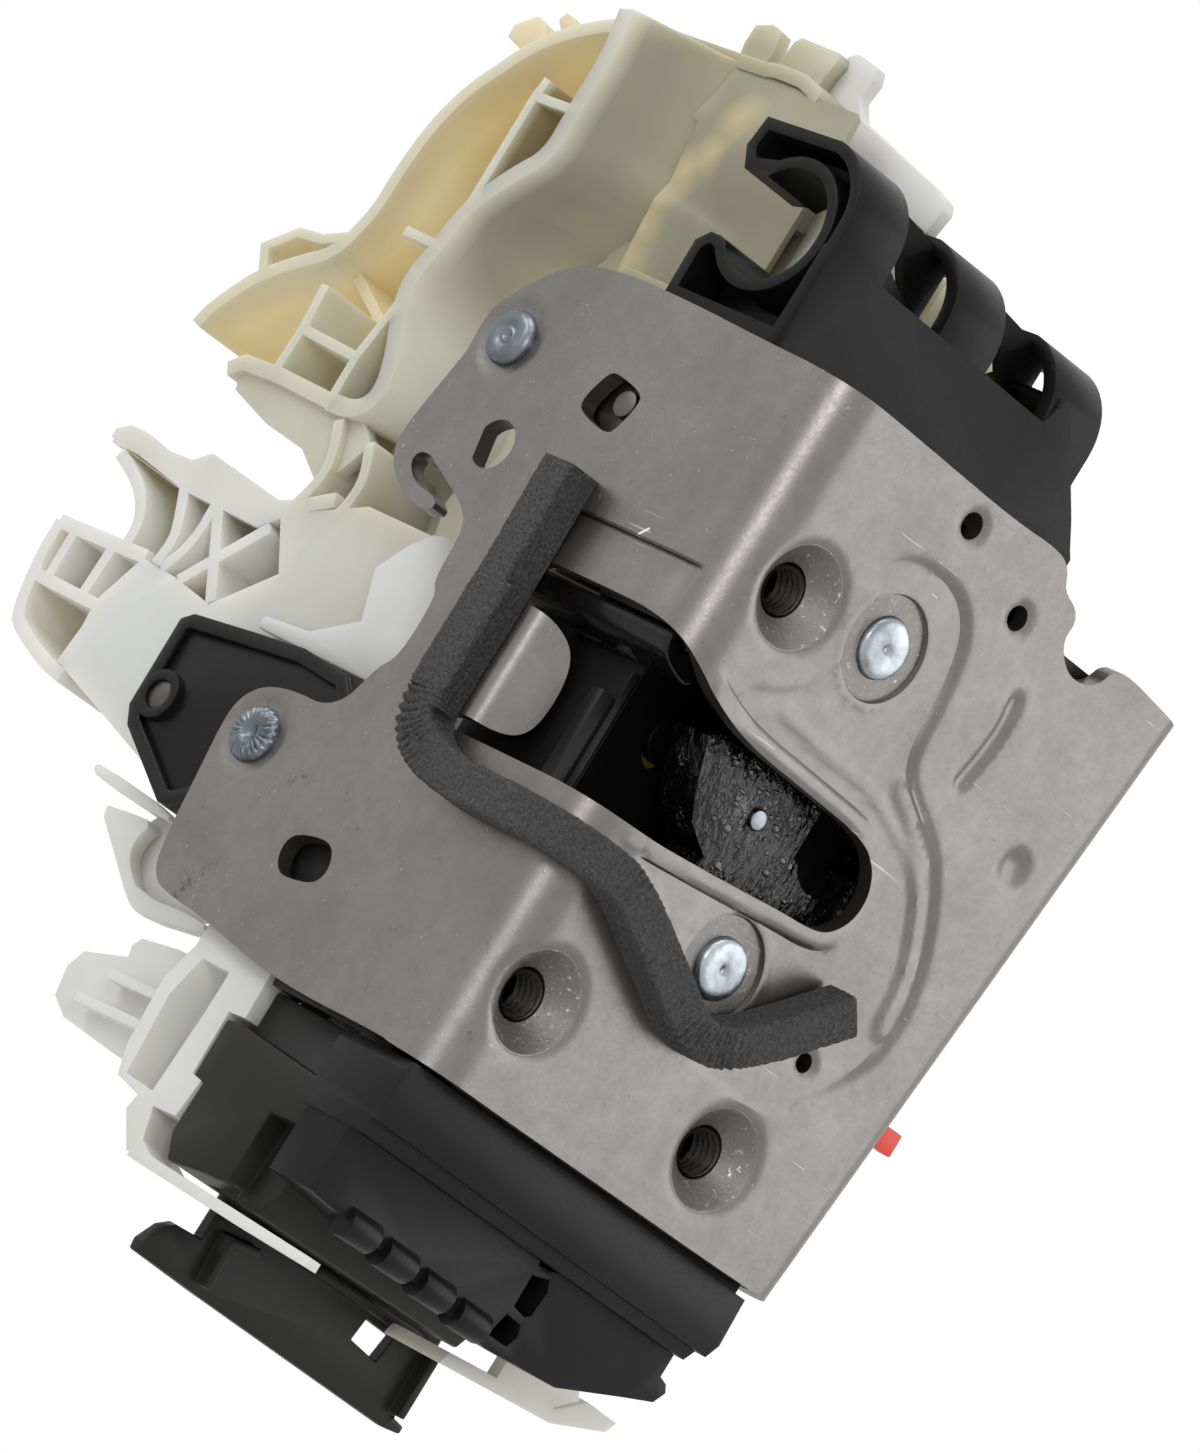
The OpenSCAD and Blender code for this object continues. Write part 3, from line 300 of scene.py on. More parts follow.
def rolledSteel():
    f = Finish("rolledSteel")
    mottle = f.noise(2.2, 5, 0.7)
    fine = f.noise(0.45, 4, 0.7)
    grease = f.noise(0.8, 5, 0.75)
    rolled = f.noise(0.22, 2, 0.6, f.stretch((0.03, 1, 1), (0, math.radians(35), 0)))
    hatch = f.noise(0.42, 1, 0.4, f.stretch((1, 0.04, 1), (math.radians(-14), 0, 0)))
    onFlange = f.along("X", -0.0095, -0.0100)
    scratches = []
    for i, (turn, squeeze) in enumerate(scratchRuns):
        run = f.stretch((squeeze, 1, 1), (0.3 * i, math.radians(turn), math.radians(31 * i)))
        here = f.spread(f.noise(4.5 + i, 2, 0.5), 0.56, 0.62)
        scratches.append(f.times(f.spread(f.noise(0.5, 2, 0.5, run), 0.705, 0.72), here))
    marks = f.most(scratches)
    wet = f.most([f.near((x, 0, z), 6.33, 0.12) for x, z in screwSeats]
                 + [f.times(f.near((x, 0, z), 6.2, 0.4), 0.75) for x, z in rivetRings])
    # painted shadow: a dark line along the step at the top of the flange's sunk panel
    stepShadow = f.times(f.along("Z", 0.05186, 0.05194), f.along("Z", 0.05262, 0.05254),
                   f.along("Y", 0.0008, 0.0010), f.along("Y", 0.0260, 0.0255), onFlange)
    # painted shade: the threaded bores are painted dark
    boreShade = f.most([f.near((x, 0, z), 2.9, 0.1) for x, z in screwSeats])
    layers = [
        ("mottled", f.spread(mottle, 0.35, 0.7), 0.35),
        ("speck", f.spread(f.noise(0.9, 5, 0.75), 0.69, 0.74), 0.25),
        ("stain", f.spread(f.noise(1.6, 5, 0.8), 0.62, 0.70), 0.45),
        ("scratch", marks, 0.35),
        ("film", wet, 0.12),
        ("glint", wet, f.spread(grease, 0.60, 0.68)),
        ("bore", boreShade),
    ]
    for y, z, reach in rubSpots:
        worn = f.spread(f.noise(0.6, 3, 0.7), 0.5, 0.58)
        layers.append(("rub", f.near((0, y, z), reach, 0.7, "x"), worn, onFlange, 0.6))
    layers.append(("hatch", f.near(hatchSpot, 1.7, 1.3, "x"), onFlange, f.spread(hatch, 0.58, 0.63, 0, 0.4)))
    layers += [("dent", f.near((0, y, z), 0.13, 0.1, "x"), onFlange) for y, z in dentSpots]
    layers.append(("stepShadow", stepShadow, 0.75))
    tone = f.layered(f.clouded(16, 4, 0.6, steelTones["dark"], steelTones["light"]), steelTones, layers)
    dull = f.math("ADD", f.spread(fine, 0.3, 0.7, 0.25, 0.35), f.times(mottle, 0.07))
    dull = f.math("ADD", dull, f.times(wet, 0.08))
    skin = f.bump(f.math("ADD", fine, f.times(rolled, 0.5)), 0.012)
    for height, depth in ((f.noise(16, 4, 0.6), 0.08), (f.times(grease, wet), 0.12), (marks, -0.02)):
        skin = f.bump(height, depth, skin)
    return f.use(Base_Color=tone, Metallic=0.92, Roughness=dull, Normal=skin)


def plainMetal(name, dark, light, dull, grain=0.6, depth=0.012):
    f = Finish(name)
    fine = f.noise(grain, 4, 0.7)
    return f.use(Base_Color=f.clouded(5, 4, 0.6, dark, light), Metallic=1.0, Normal=f.bump(fine, depth),
                 Roughness=f.spread(fine, 0.3, 0.7, dull - 0.06, dull + 0.08))


def mouldedPlastic(name, dark, light, dull, glow=0.0, gloss=0.5):
    f = Finish(name)
    fine = f.noise(0.35, 3, 0.6)
    f.use(Base_Color=f.clouded(22, 3, 0.5, dark, light), Specular_IOR_Level=gloss,
          Roughness=f.spread(fine, 0.3, 0.7, dull - 0.05, dull + 0.07),
          Normal=f.bump(f.noise(9, 2, 0.4), 0.10, f.bump(fine, 0.006)))
    if glow:
        f.use(Subsurface_Weight=glow, Subsurface_Radius=(0.006, 0.005, 0.003), Subsurface_Scale=1.0)
    return f.mat


foamTones = {
    "dark": (46, 45, 47),
    "light": (98, 97, 98),
    "cloud": (74, 73, 72),
    "glint": (128, 127, 126),
}


def foamFinish():
    f = Finish("closedCellFoam")
    pits = f.spread(f.cells(0.7), 0.05, 0.45)
    small = f.noise(0.4, 4, 0.75)
    tone = f.mix(f.spread(small, 0.35, 0.65), colour(*foamTones["dark"]), colour(*foamTones["light"]))
    tone = f.layered(tone, foamTones, [
        ("cloud", f.spread(f.noise(7, 3, 0.5), 0.35, 0.65, 0, 0.4)),
        ("glint", f.spread(f.noise(0.28, 3, 0.8), 0.62, 0.70), 0.5),
    ])
    skin = f.bump(f.times(pits, small), 0.55, f.bump(f.noise(1.7, 3, 0.6), 0.5))
    return f.use(Base_Color=tone, Roughness=0.8, Normal=skin, Specular_IOR_Level=0.3)


# the case's colour holds painted light: a painted glow where it is thin, warm and tan low in the pockets; painted
# shade deeper in and in the bowl; painted light on the lower block; grey-white on the near rims
ivoryTones = {
    "near": (186, 184, 168),
    "nearLight": (196, 194, 180),
    "deep": (172, 168, 142),
    "bowl": (136, 133, 113),
    "bowlWall": (170, 162, 132),
    "litLowerBlock": (222, 221, 216),
    "foot": (214, 212, 204),
    "glow": (224, 202, 160),
    "glowLight": (242, 226, 192),
}


def ivoryFinish():
    f = Finish("ivoryPlastic")
    fine = f.noise(0.35, 3, 0.6)
    deepPart = f.along("X", 0.0085, 0.0165)
    inBowl = f.times(f.near((20, 68, 92), 20, 9, "none"), f.along("X", 0.0185, 0.0165))
    tone = f.layered(f.clouded(20, 3, 0.5, ivoryTones["near"], ivoryTones["nearLight"]), ivoryTones, [
        # painted shade: darker and warmer deeper into the case
        ("deep", deepPart, 0.55),
        # painted shade in the bowl, lighter and warmer on its wall towards the ridge
        ("bowl", f.along("X", 0.0014, 0.0030), inBowl, 0.95),
        ("bowlWall", f.along("X", 0.0052, 0.0096, 0, 0.6), inBowl),
        # painted light: the lower block is painted near white
        ("litLowerBlock", f.along("Y", 0.062, 0.085), f.along("Z", 0.044, 0.036), 0.8),
        ("foot", f.along("Z", -0.004, -0.012)),
    ])
    # painted glow: warm tan light painted low in the pockets, where the thin case would let light through
    paintedGlowTones = [colour(*ivoryTones[key]) for key in ("glow", "glowLight")]
    glow = f.mix(f.spread(f.noise(24, 2, 0.5), 0.4, 0.6), *paintedGlowTones)
    tone = f.mix(f.times(deepPart, f.along("Y", 0.070, 0.088), f.along("Z", 0.050, 0.058)), tone, glow)
    return f.use(Base_Color=tone, Roughness=f.spread(fine, 0.3, 0.7, 0.36, 0.46), Specular_IOR_Level=0.4,
                 Normal=f.bump(f.noise(9, 2, 0.4), 0.10, f.bump(fine, 0.006)),
                 Subsurface_Weight=0.45, Subsurface_Radius=(0.009, 0.007, 0.004), Subsurface_Scale=1.0)


greasyTones = {
    "dark": (7, 7, 7),
    "light": (20, 18, 18),
    "dripHighlight": (150, 150, 152),
}


def greasyPlastic():
    f = Finish("greasyPlastic")
    folds = f.noise(2.4, 4, 0.62, f.stretch((1, 1, 0.45), (0, math.radians(-30), 0)))
    drops = f.noise(0.5, 4, 0.7)
    tone = f.mix(f.spread(folds, 0.4, 0.62), colour(*greasyTones["dark"]), colour(*greasyTones["light"]))
    tone = f.layered(tone, greasyTones, [
        # painted highlight: bright drips on the folds stand for glints on the grease
        ("dripHighlight", f.spread(folds, 0.56, 0.62), f.spread(drops, 0.54, 0.60), 0.6),
    ])
    skin = f.bump(f.math("ADD", f.spread(folds, 0.35, 0.65), f.times(drops, 0.12)), 0.3)
    return f.use(Base_Color=tone, Roughness=f.spread(drops, 0.35, 0.65, 0.05, 0.2), Normal=skin,
                 Specular_IOR_Level=0.4)


# the bowl's floor: painted shade makes it dull green-grey, and a painted glow makes it warm along its folds where
# it is thin
bowlTones = {
    "dark": (138, 134, 112),
    "light": (154, 149, 126),
    "fold": (206, 186, 144),
}
bowlFolds = ((20, 64, 98), (20, 61, 101), (20, 66, 94.5), (20, 66, 90), (20, 60, 106.3), (20, 66, 86))


def bowlFinish():
    f = Finish("bowlPlastic")
    fine = f.noise(0.35, 3, 0.6)
    fold = f.most([f.near(place, 0.3, 4.2, "none") for place in bowlFolds])
    tone = f.clouded(14, 3, 0.5, bowlTones["dark"], bowlTones["light"])
    return f.use(Base_Color=f.layered(tone, bowlTones, [("fold", fold, 0.75)]), Normal=f.bump(fine, 0.006),
                 Roughness=f.spread(fine, 0.3, 0.7, 0.36, 0.46), Specular_IOR_Level=0.4,
                 Subsurface_Weight=0.25, Subsurface_Radius=(0.006, 0.004, 0.002))


finishes = {
    # plain ones: dark tone, light tone, roughness
    "rolledSteel": rolledSteel(),
    "darkSteel": plainMetal("darkSteel", (78, 76, 74), (104, 101, 98), 0.38),
    "brightZinc": plainMetal("brightZinc", (128, 132, 138), (186, 192, 200), 0.30, 1.1, 0.05),
    "dullZinc": plainMetal("dullZinc", (92, 96, 102), (134, 138, 144), 0.34, 1.3, 0.05),
    "springSteel": plainMetal("springSteel", (132, 132, 136), (168, 168, 172), 0.25),
    "motorSteel": plainMetal("motorSteel", (140, 142, 146), (172, 174, 178), 0.28),
    "blackPlastic": mouldedPlastic("blackPlastic", (19, 19, 19), (26, 26, 26), 0.34, gloss=0.17),
    "deepBlack": mouldedPlastic("deepBlack", (11, 11, 11), (17, 17, 17), 0.36, gloss=0.14),
    "greyBlack": mouldedPlastic("greyBlack", (28, 28, 27), (37, 37, 36), 0.38, gloss=0.2),
    "satinBlack": mouldedPlastic("satinBlack", (12, 11, 11), (20, 18, 18), 0.22, gloss=0.3),
    "matBlack": mouldedPlastic("matBlack", (16, 16, 16), (24, 24, 24), 0.5, gloss=0.2),
    "greasyPlastic": greasyPlastic(),
    "bowlPlastic": bowlFinish(),
    "clearGrease": mouldedPlastic("clearGrease", (12, 12, 12), (30, 29, 28), 0.08, gloss=0.8),
    "bufferRubber": mouldedPlastic("bufferRubber", (20, 19, 20), (30, 29, 29), 0.6),
    "closedCellFoam": foamFinish(),
    "ivoryPlastic": ivoryFinish(),
    "whitePlastic": mouldedPlastic("whitePlastic", (206, 206, 203), (218, 218, 216), 0.4, 0.2, 0.35),
    "contactBrass": plainMetal("contactBrass", (184, 160, 96), (212, 190, 128), 0.25),
    "redPlastic": mouldedPlastic("redPlastic", (214, 46, 28), (232, 66, 40), 0.4),
}
print("finishes ready:", len(finishes))


# mesh tools

def meshFrom(work, name):
    mesh = bpy.data.meshes.new(name)
    work.to_mesh(mesh)
    work.free()
    return mesh


def sharpEdges(work, degrees):
    return [e for e in work.edges if len(e.link_faces) == 2 and e.calc_face_angle(0) > math.radians(degrees)]


def rounded(work, edges, radius):
    bmesh.ops.bevel(work, geom=edges, offset=radius / 1000, segments=2, profile=0.5, affect="EDGES",
                    clamp_overlap=True)


def splitFaces(work):
    bmesh.ops.triangulate(work, faces=[f for f in work.faces if len(f.verts) > 4])


# closed rings of corners, joined one to the next, with or without end faces
def joined(work, rings, ends=True):
    for last, ring in zip(rings, rings[1:]):
        for i in range(len(ring)):
            j = (i + 1) % len(ring)
            work.faces.new((last[i], last[j], ring[j], ring[i]))
    if ends:
        work.faces.new(rings[0])
        work.faces.new(rings[-1])


def shaded(name, mesh, finishName, crease):
    mesh.materials.clear()
    mesh.materials.append(finishes[finishName])
    for face in mesh.polygons:
        face.use_smooth = True
        face.material_index = 0
    mesh.set_sharp_from_angle(angle=math.radians(crease))
    return addObject(name, mesh)


# a piece that stands for a node
def finishPiece(mesh, nodeName, finishName, crease=28):
    piece = shaded(nodeName + "_made", mesh, finishName, crease)
    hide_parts(nodeName)
    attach(piece, frame["nodes"][nodeName]["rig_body"])
    return piece


# a piece of its own that rides on a node's body
def addPiece(name, mesh, finishName, nodeName, crease=35):
    piece = shaded(name, mesh, finishName, crease)
    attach(piece, frame["nodes"][nodeName]["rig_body"])
    return piece


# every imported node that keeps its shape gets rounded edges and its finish

nodeFinish = {
    # node: finish, record slot, edge radius in millimetres
    "latch_housing": ("blackPlastic", "black_plastic", 0.25),
    "cable_duct": ("deepBlack", "black_plastic", 0.3),
    "lower_shroud": ("blackPlastic", "black_plastic", 0.3),
    "back_plate": ("darkSteel", "steel_plate", 0.2),
    "claw_core": ("darkSteel", "dark_steel", 0.15),
    "claw_skin": ("greasyPlastic", "claw_plastic", 0.2),
    "claw_stud": ("brightZinc", "zinc", 0.12),
    "pawl": ("darkSteel", "dark_steel", 0.2),
    "claw_spring": ("springSteel", "spring_steel", 0),
    "pawl_spring": ("springSteel", "spring_steel", 0),
    "striker_buffer": ("bufferRubber", "buffer_rubber", 0.25),
    "outside_lever": ("darkSteel", "dark_steel", 0.2),
    "inside_lever": ("blackPlastic", "black_plastic", 0.3),
    "inside_lever_pin": ("darkSteel", "zinc", 0.2),
    "lock_lever": ("whitePlastic", "white_plastic", 0.25),
    "actuator_case": ("ivoryPlastic", "ivory_plastic", 0.3),
    "rear_case": ("ivoryPlastic", "ivory_plastic", 0.3),
    "actuator_cover": ("ivoryPlastic", "ivory_plastic", 0.4),
    "top_flap": ("whitePlastic", "white_plastic", 0.3),
    "motor_can": ("motorSteel", "motor_steel", 0.3),
    "worm": ("ivoryPlastic", "ivory_plastic", 0),
    "lock_gear": ("whitePlastic", "white_plastic", 0.1),
    "position_switch": ("matBlack", "black_plastic", 0.2),
    "case_screw": ("brightZinc", "zinc", 0.2),
    "connector_shell": ("greyBlack", "black_plastic", 0.3),
    "connector_pins": ("contactBrass", "contact_brass", 0),
    "end_piece": ("whitePlastic", "white_plastic", 0.3),
    "bracket_plate": ("greyBlack", "black_plastic", 0.25),
    "red_tab": ("redPlastic", "red_plastic", 0.2),
}


def blockMesh(name, blocks):
    work = bmesh.new()
    for x0, x1, y0, y1, z0, z1 in blocks:
        made = bmesh.ops.create_cube(work, size=1.0)
        for v in made["verts"]:
            ends = zip((x0, y0, z0), (x1, y1, z1), v.co)
            v.co = placed(*(a + (b - a) * (c + 0.5) for a, b, c in ends))
    return meshFrom(work, name)


carvings = {
    # node: blocks that are cut out of its copy, as x from and to, y from and to, z from and to
    "latch_housing": [
        (5.0, 8.85, 15.42, 20.2, 23.2, 40.2),
        (5.0, 8.85, 12.2, 15.6, 35.2, 40.2),
        (2.0, 5.3, 16.8, 20.2, 22.9, 44.9),
    ],
    "actuator_case": [(13.0, 21.6, 39.6, 42.4, 82.0, 104.8)],
    "back_plate": [(5.0, 7.4, 14.0, 17.0, 21.5, 44.6)],
}


def carved(mesh, name):
    cutter = addObject(name + "Cutter", blockMesh(name + "Blocks", carvings[name]))
    whole = addObject(name + "Whole", mesh)
    cut = whole.modifiers.new("cut", "BOOLEAN")
    cut.operation, cut.solver, cut.object = "DIFFERENCE", "EXACT", cutter
    cut.use_self = True      # the blocks overlap each other
    graph = bpy.context.evaluated_depsgraph_get()
    out = bpy.data.meshes.new_from_object(whole.evaluated_get(graph))
    for used in (cutter, whole):
        bpy.data.objects.remove(used)
    return out


def dressNode(name, finishName, radius):
    mesh = frame["nodes"][name].data.copy()
    mesh.name = name + "Dressed"
    work = bmesh.new()
    work.from_mesh(mesh)
    bmesh.ops.remove_doubles(work, verts=work.verts, dist=2e-6)
    if name in carvings:
        work.to_mesh(mesh)
        work.free()
        mesh = carved(mesh, name)
        work = bmesh.new()
        work.from_mesh(mesh)
    bmesh.ops.dissolve_limit(work, angle_limit=math.radians(0.6), verts=work.verts, edges=work.edges,
                             delimit=set())
    if radius:
        rounded(work, sharpEdges(work, 32), radius)
    splitFaces(work)
    work.to_mesh(mesh)
    work.free()
    return finishPiece(mesh, name, finishName)


for nodeName, (finishName, slotName, radius) in nodeFinish.items():
    dressNode(nodeName, finishName, radius)
print("nodes dressed")

# flat drawing tools: paths in millimetres, gaps to them, and sheets of triangles

def softened(path, closed=False, times=2):
    pts = [Vector(p) for p in path]
    for _ in range(times):
        pairs = list(zip(pts, pts[1:] + pts[:1])) if closed else list(zip(pts, pts[1:]))
        cut = [q for a, b in pairs for q in (a * 0.75 + b * 0.25, a * 0.25 + b * 0.75)]
        pts = cut if closed else [pts[0]] + cut[1:-1] + [pts[-1]]
    return pts


def spaced(path, step, closed=False):
    pts = np.array([tuple(p)[:2] for p in path], dtype=float)
    if closed:
        pts = np.vstack([pts, pts[:1]])
    run = np.concatenate([[0], np.cumsum(np.linalg.norm(np.diff(pts, axis=0), axis=1))])
    at = np.linspace(0, run[-1], max(3, int(round(run[-1] / step))) + 1)
    out = np.column_stack([np.interp(at, run, pts[:, i]) for i in (0, 1)])
    return out[:-1] if closed else out


def ringAt(cx, cz, radius, step=0.8):
    turn = np.linspace(0, 2 * math.pi, max(16, int(2 * math.pi * radius / step)), endpoint=False)
    return np.column_stack([cx + radius * np.cos(turn), cz + radius * np.sin(turn)])


# gap from each point to a path; below zero on the path's right-hand side
def gapTo(pts, path, closed=False):
    path = np.asarray(path, dtype=float)
    if closed:
        path = np.vstack([path, path[:1]])
    best = np.full(len(pts), 1e9)
    sign = np.ones(len(pts))
    for a, b in zip(path[:-1], path[1:]):
        way = b - a
        length = max(way @ way, 1e-12)
        t = np.clip(((pts - a) @ way) / length, 0, 1)
        off = pts - a - t[:, None] * way
        gap = np.hypot(off[:, 0], off[:, 1])
        nearer = gap < best - 1e-9
        best[nearer] = gap[nearer]
        sign[nearer] = np.where(way[0] * off[nearer, 1] - way[1] * off[nearer, 0] >= 0, 1, -1)
    return best * sign


def insideOf(pts, loop):
    loop = np.asarray(loop, dtype=float)
    held = np.zeros(len(pts), dtype=bool)
    for a, b in zip(loop, np.roll(loop, -1, axis=0)):
        crosses = (a[1] > pts[:, 1]) != (b[1] > pts[:, 1])
        drop = b[1] - a[1] if abs(b[1] - a[1]) > 1e-12 else 1e-12
        held ^= crosses & (pts[:, 0] < (b[0] - a[0]) * (pts[:, 1] - a[1]) / drop + a[0])
    return held


# triangles that fill an outline around its holes and follow the given lines
def filled(outline, holes, lines, grid):
    loops = [outline] + holes
    low, high = outline.min(0), outline.max(0)
    rows = np.arange(low[1], high[1], grid * 0.866)
    dots = np.array([(x + (grid / 2 if i % 2 else 0), z)
                     for i, z in enumerate(rows) for x in np.arange(low[0], high[0], grid)])
    keep = insideOf(dots, outline)
    for hole in holes:
        keep &= ~insideOf(dots, hole)
    for loop in loops:
        keep[keep] = np.abs(gapTo(dots[keep], loop, True)) > grid * 0.55
    for line in lines:
        near = keep & (dots[:, 0] > line[:, 0].min() - 1) & (dots[:, 0] < line[:, 0].max() + 1)
        keep[near] = np.abs(gapTo(dots[near], line)) > grid * 0.42
    verts, edges = [], []
    for path, closed in [(p, True) for p in loops] + [(p, False) for p in lines]:
        first = len(verts)
        verts += [Vector(p) for p in path]
        edges += [(first + i, first + i + 1) for i in range(len(path) - 1)]
        if closed:
            edges.append((len(verts) - 1, first))
    verts += [Vector(p) for p in dots[keep]]
    made = delaunay_2d_cdt(verts, edges, [], 0, 1e-5, False)
    pts = np.array([tuple(v) for v in made[0]])
    tris = np.array([f for f in made[2] if len(f) == 3])
    mid = pts[tris].mean(axis=1)
    good = insideOf(mid, outline)
    for hole in holes:
        good &= ~insideOf(mid, hole)
    return pts, tris[good]


# stamped plate: a flat map of the sheet (s along it, z up it), pressed, pierced, then bent round its two folds

plateSize = {
    "sheet": 2.4,
    "bendRadius": 8.0,
    "foldRadius": 4.5,
    "foldTall": 84.1,
    "edgeLean": 5.8,
    "tongueStart": -23.1,
    "tongueRadius": 3.4,
    "grid": 0.85,
    "rimRadius": 0.34,
    "stepDepth": 0.75,
    "stepShoulder": 1.7,
    "leftDepth": 0.14,
    "leftFade": 15,
    "ringDepth": 0.5,
    "ringRadius": 6.7,
    "ringRise": 0.12,
    "coneRadius": 6.4,
    "coneReach": 7.9,
    "coneLead": 0.36,
    "coneSlope": 0.98,
    "lipRise": 0.62,
    "lipWidth": 2.4,
    "innerRise": 0.2,
    "innerWidth": 0.55,
    "ribRise": 0.3,
    "ribWidth": 1.2,
    "grooveDepth": 0.6,
    "grooveWidth": 1.35,
    "dimpleDepth": 0.75,
    "dimpleRadius": 2.7,
    "sinkDepth": 0.4,
    "panelDepth": 0.55,
    "panelTop": 52.3,
    "rivetSink": 0.25,
}
bendEnd = plateSize["bendRadius"] * (1 - math.pi / 2)      # s where the side face begins
sideZero = 3.434                                           # from there on y = sideZero - s
edgeLean = math.radians(plateSize["edgeLean"])
foldCorner = (69, -13.2)
dimpleSpot = (64.5, 45.6)


def foldPoint(u, w):
    return (foldCorner[0] + u * math.cos(edgeLean) + w * math.sin(edgeLean),
            foldCorner[1] - u * math.sin(edgeLean) + w * math.cos(edgeLean))


def onSide(path):
    return [(sideZero - y, z) for y, z in path]


foldTall = plateSize["foldTall"] / math.cos(edgeLean)
foldEdge = [(-4.3, 0), (-1, 0), (3, 0), (6.6, 0), (7.069, 0.6), (7.069, foldTall - 1.5), (6, foldTall - 0.3),
            (0, foldTall - 0.2), (-4.3, foldTall - 0.2)]
frontTop = [(8, 79), (20, 78.7), (35, 78.3), (44.1, 78.8), (46.8, 77.6), (47.9, 75.4), (51.2, 74.5), (52.3, 72.9),
            (51.9, 71.1), (53.3, 69.1), (55.8, 67.7), (58.8, 67.9), (60.8, 69.2), (61.5, 71.2), (63.7, 72.2)]
frontFoot = [(bendEnd, -12.9), (8, -13.2), (30, -13.2), (64.0, -13.2)]
frontOutline = frontFoot + [foldPoint(u, w) for u, w in foldEdge] + frontTop[::-1] + [(bendEnd, 79)]
sideOutline = onSide([
    (33.3, 80.2), (46.9, 79.7), (52, 77), (56.2, 72.6), (58.5, 69.5), (58, 64.3), (58.2, 63.1), (60.6, 51.7),
    (59.5, 48.9), (57.4, 46.9), (54.7, 45.6), (50.6, 44.4), (48, 45.3), (49.4, 46.6), (52.4, 46.8), (54.6, 47.6),
    (56.3, 49.2), (56, 50.6), (54.1, 51.0), (51.4, 49.8), (47.6, 48.3), (44.6, 47), (42.6, 45.4), (41.9, 43.2),
    (41.7, 37.3), (39.9, 36.1), (39.9, 27.6), (42, 25.6), (43.1, 22.4), (44.2, 20.2), (47, 18.6), (50.9, 18.7),
    (54.9, 18.3), (58.2, 17.2), (60.3, 14.6), (60.4, 11.3), (59.8, 7.3), (58.1, -5.3), (56.3, -8.3), (53.8, -9.3),
    (44.4, -10.1), (29.8, -12.6), (8, -12.6),
])
slotFoot = [(5.46, 42.2), (9.9, 40.1), (17.7, 38.4), (30.9, 38.1), (42.3, 37.6), (45.7, 35.6), (47.4, 32.7),
            (47.3, 29.4), (45, 26.6), (42.2, 25.5), (36.1, 25.1), (29.6, 24.4), (19.1, 23.4), (12, 22.8)]
slotLoop = slotFoot + [
    (0, 22.8), (-12, 22.8), (-24.4, 22.8), (-25.5, 23.3), (-25.6, 24.6), (-22, 24.9), (-17.5, 25.0),
    (-14.6, 26.2), (-13.4, 29), (-13.4, 34.4), (-14.8, 38.0), (-18.4, 39.7), (-22, 39.8), (-25.6, 39.9),
    (-25.6, 43.8), (-24.8, 45.2), (-23, 45.4), (-12, 45.4), (-4.57, 45.3), (1.2, 44.4)]
stepLine = [(22.7, 62.1), (21.4, 63.6), (22.4, 66), (26.4, 67.6), (32, 67.6), (36.1, 66), (38.8, 62.6),
            (40.2, 55.8), (40.4, 51.1), (41.1, 48.2), (42.8, 45.9), (45.8, 44.2), (50.1, 42.1), (53.6, 39.6),
            (58.7, 32.5), (61.7, 24.8), (61.3, 18.1), (58.9, 13.7), (55.7, 10.2), (53.8, 8.8), (53.4, 7.0)]
recessLeft = [(53.4, 7.0), (50, 5), (43, 4.5), (36, 5.2), (30, 7), (25.4, 10.5), (22.6, 14.6), (19, 19), (12, 20),
              (12, 22), (12, 30), (12, 43.6), (16.9, 45.1), (19.9, 46.9), (22.6, 50.2), (23.9, 54), (23.9, 58),
              (22.7, 62.1)]
innerLine = [(19.5, 44), (27.2, 43.2), (38.3, 43), (44.8, 41), (50.2, 38.9), (55, 34.9), (58.7, 28.1),
             (59.5, 21.8)]
ribLine = [(43, 45), (47.5, 42.6), (52.2, 39.5), (56.8, 33.4), (60.2, 26), (60.3, 21)]
grooveLine = [(50.6, 61.4), (51.2, 57.7), (50.5, 53.1), (49.8, 49.8)]
panelLine = onSide([(29.3, 52.3), (16, 52.3), (4.0, 52.3)])
sideWindow = onSide([(36.2, 64.2), (34.7, 68), (33.6, 68.9), (28, 67.8), (27.2, 66.6), (28.4, 62.6), (29.5, 61.6),
                     (35.2, 62.8)])
lowerHole = onSide([(39.6, 0.3), (39.9, 2.4), (38.7, 3.8), (34.6, 4.6), (32.4, 4.2), (31.1, 2.4), (31, 0.8),
                    (32, -0.7), (36.2, -1.4), (38.2, -1.2)])
foldHole = [foldPoint(u, w) for u, w in ((2.2, 22.9), (4.3, 22.9), (4.3, 25.9), (2.2, 25.9))]
slotRim = spaced(softened(slotLoop, True), 0.75, True)
stepPath = spaced(softened(stepLine), 0.8)
leftPath = spaced(softened(recessLeft), 0.8)
recessLoop = np.vstack([stepPath, leftPath[1:-1]])


def shifted(path, by):
    way = np.gradient(path, axis=0)
    way /= np.linalg.norm(way, axis=1)[:, None]
    return path + by * np.column_stack([-way[:, 1], way[:, 0]])


def ease(t):
    t = np.clip(t, 0, 1)
    return t * t * (3 - 2 * t)


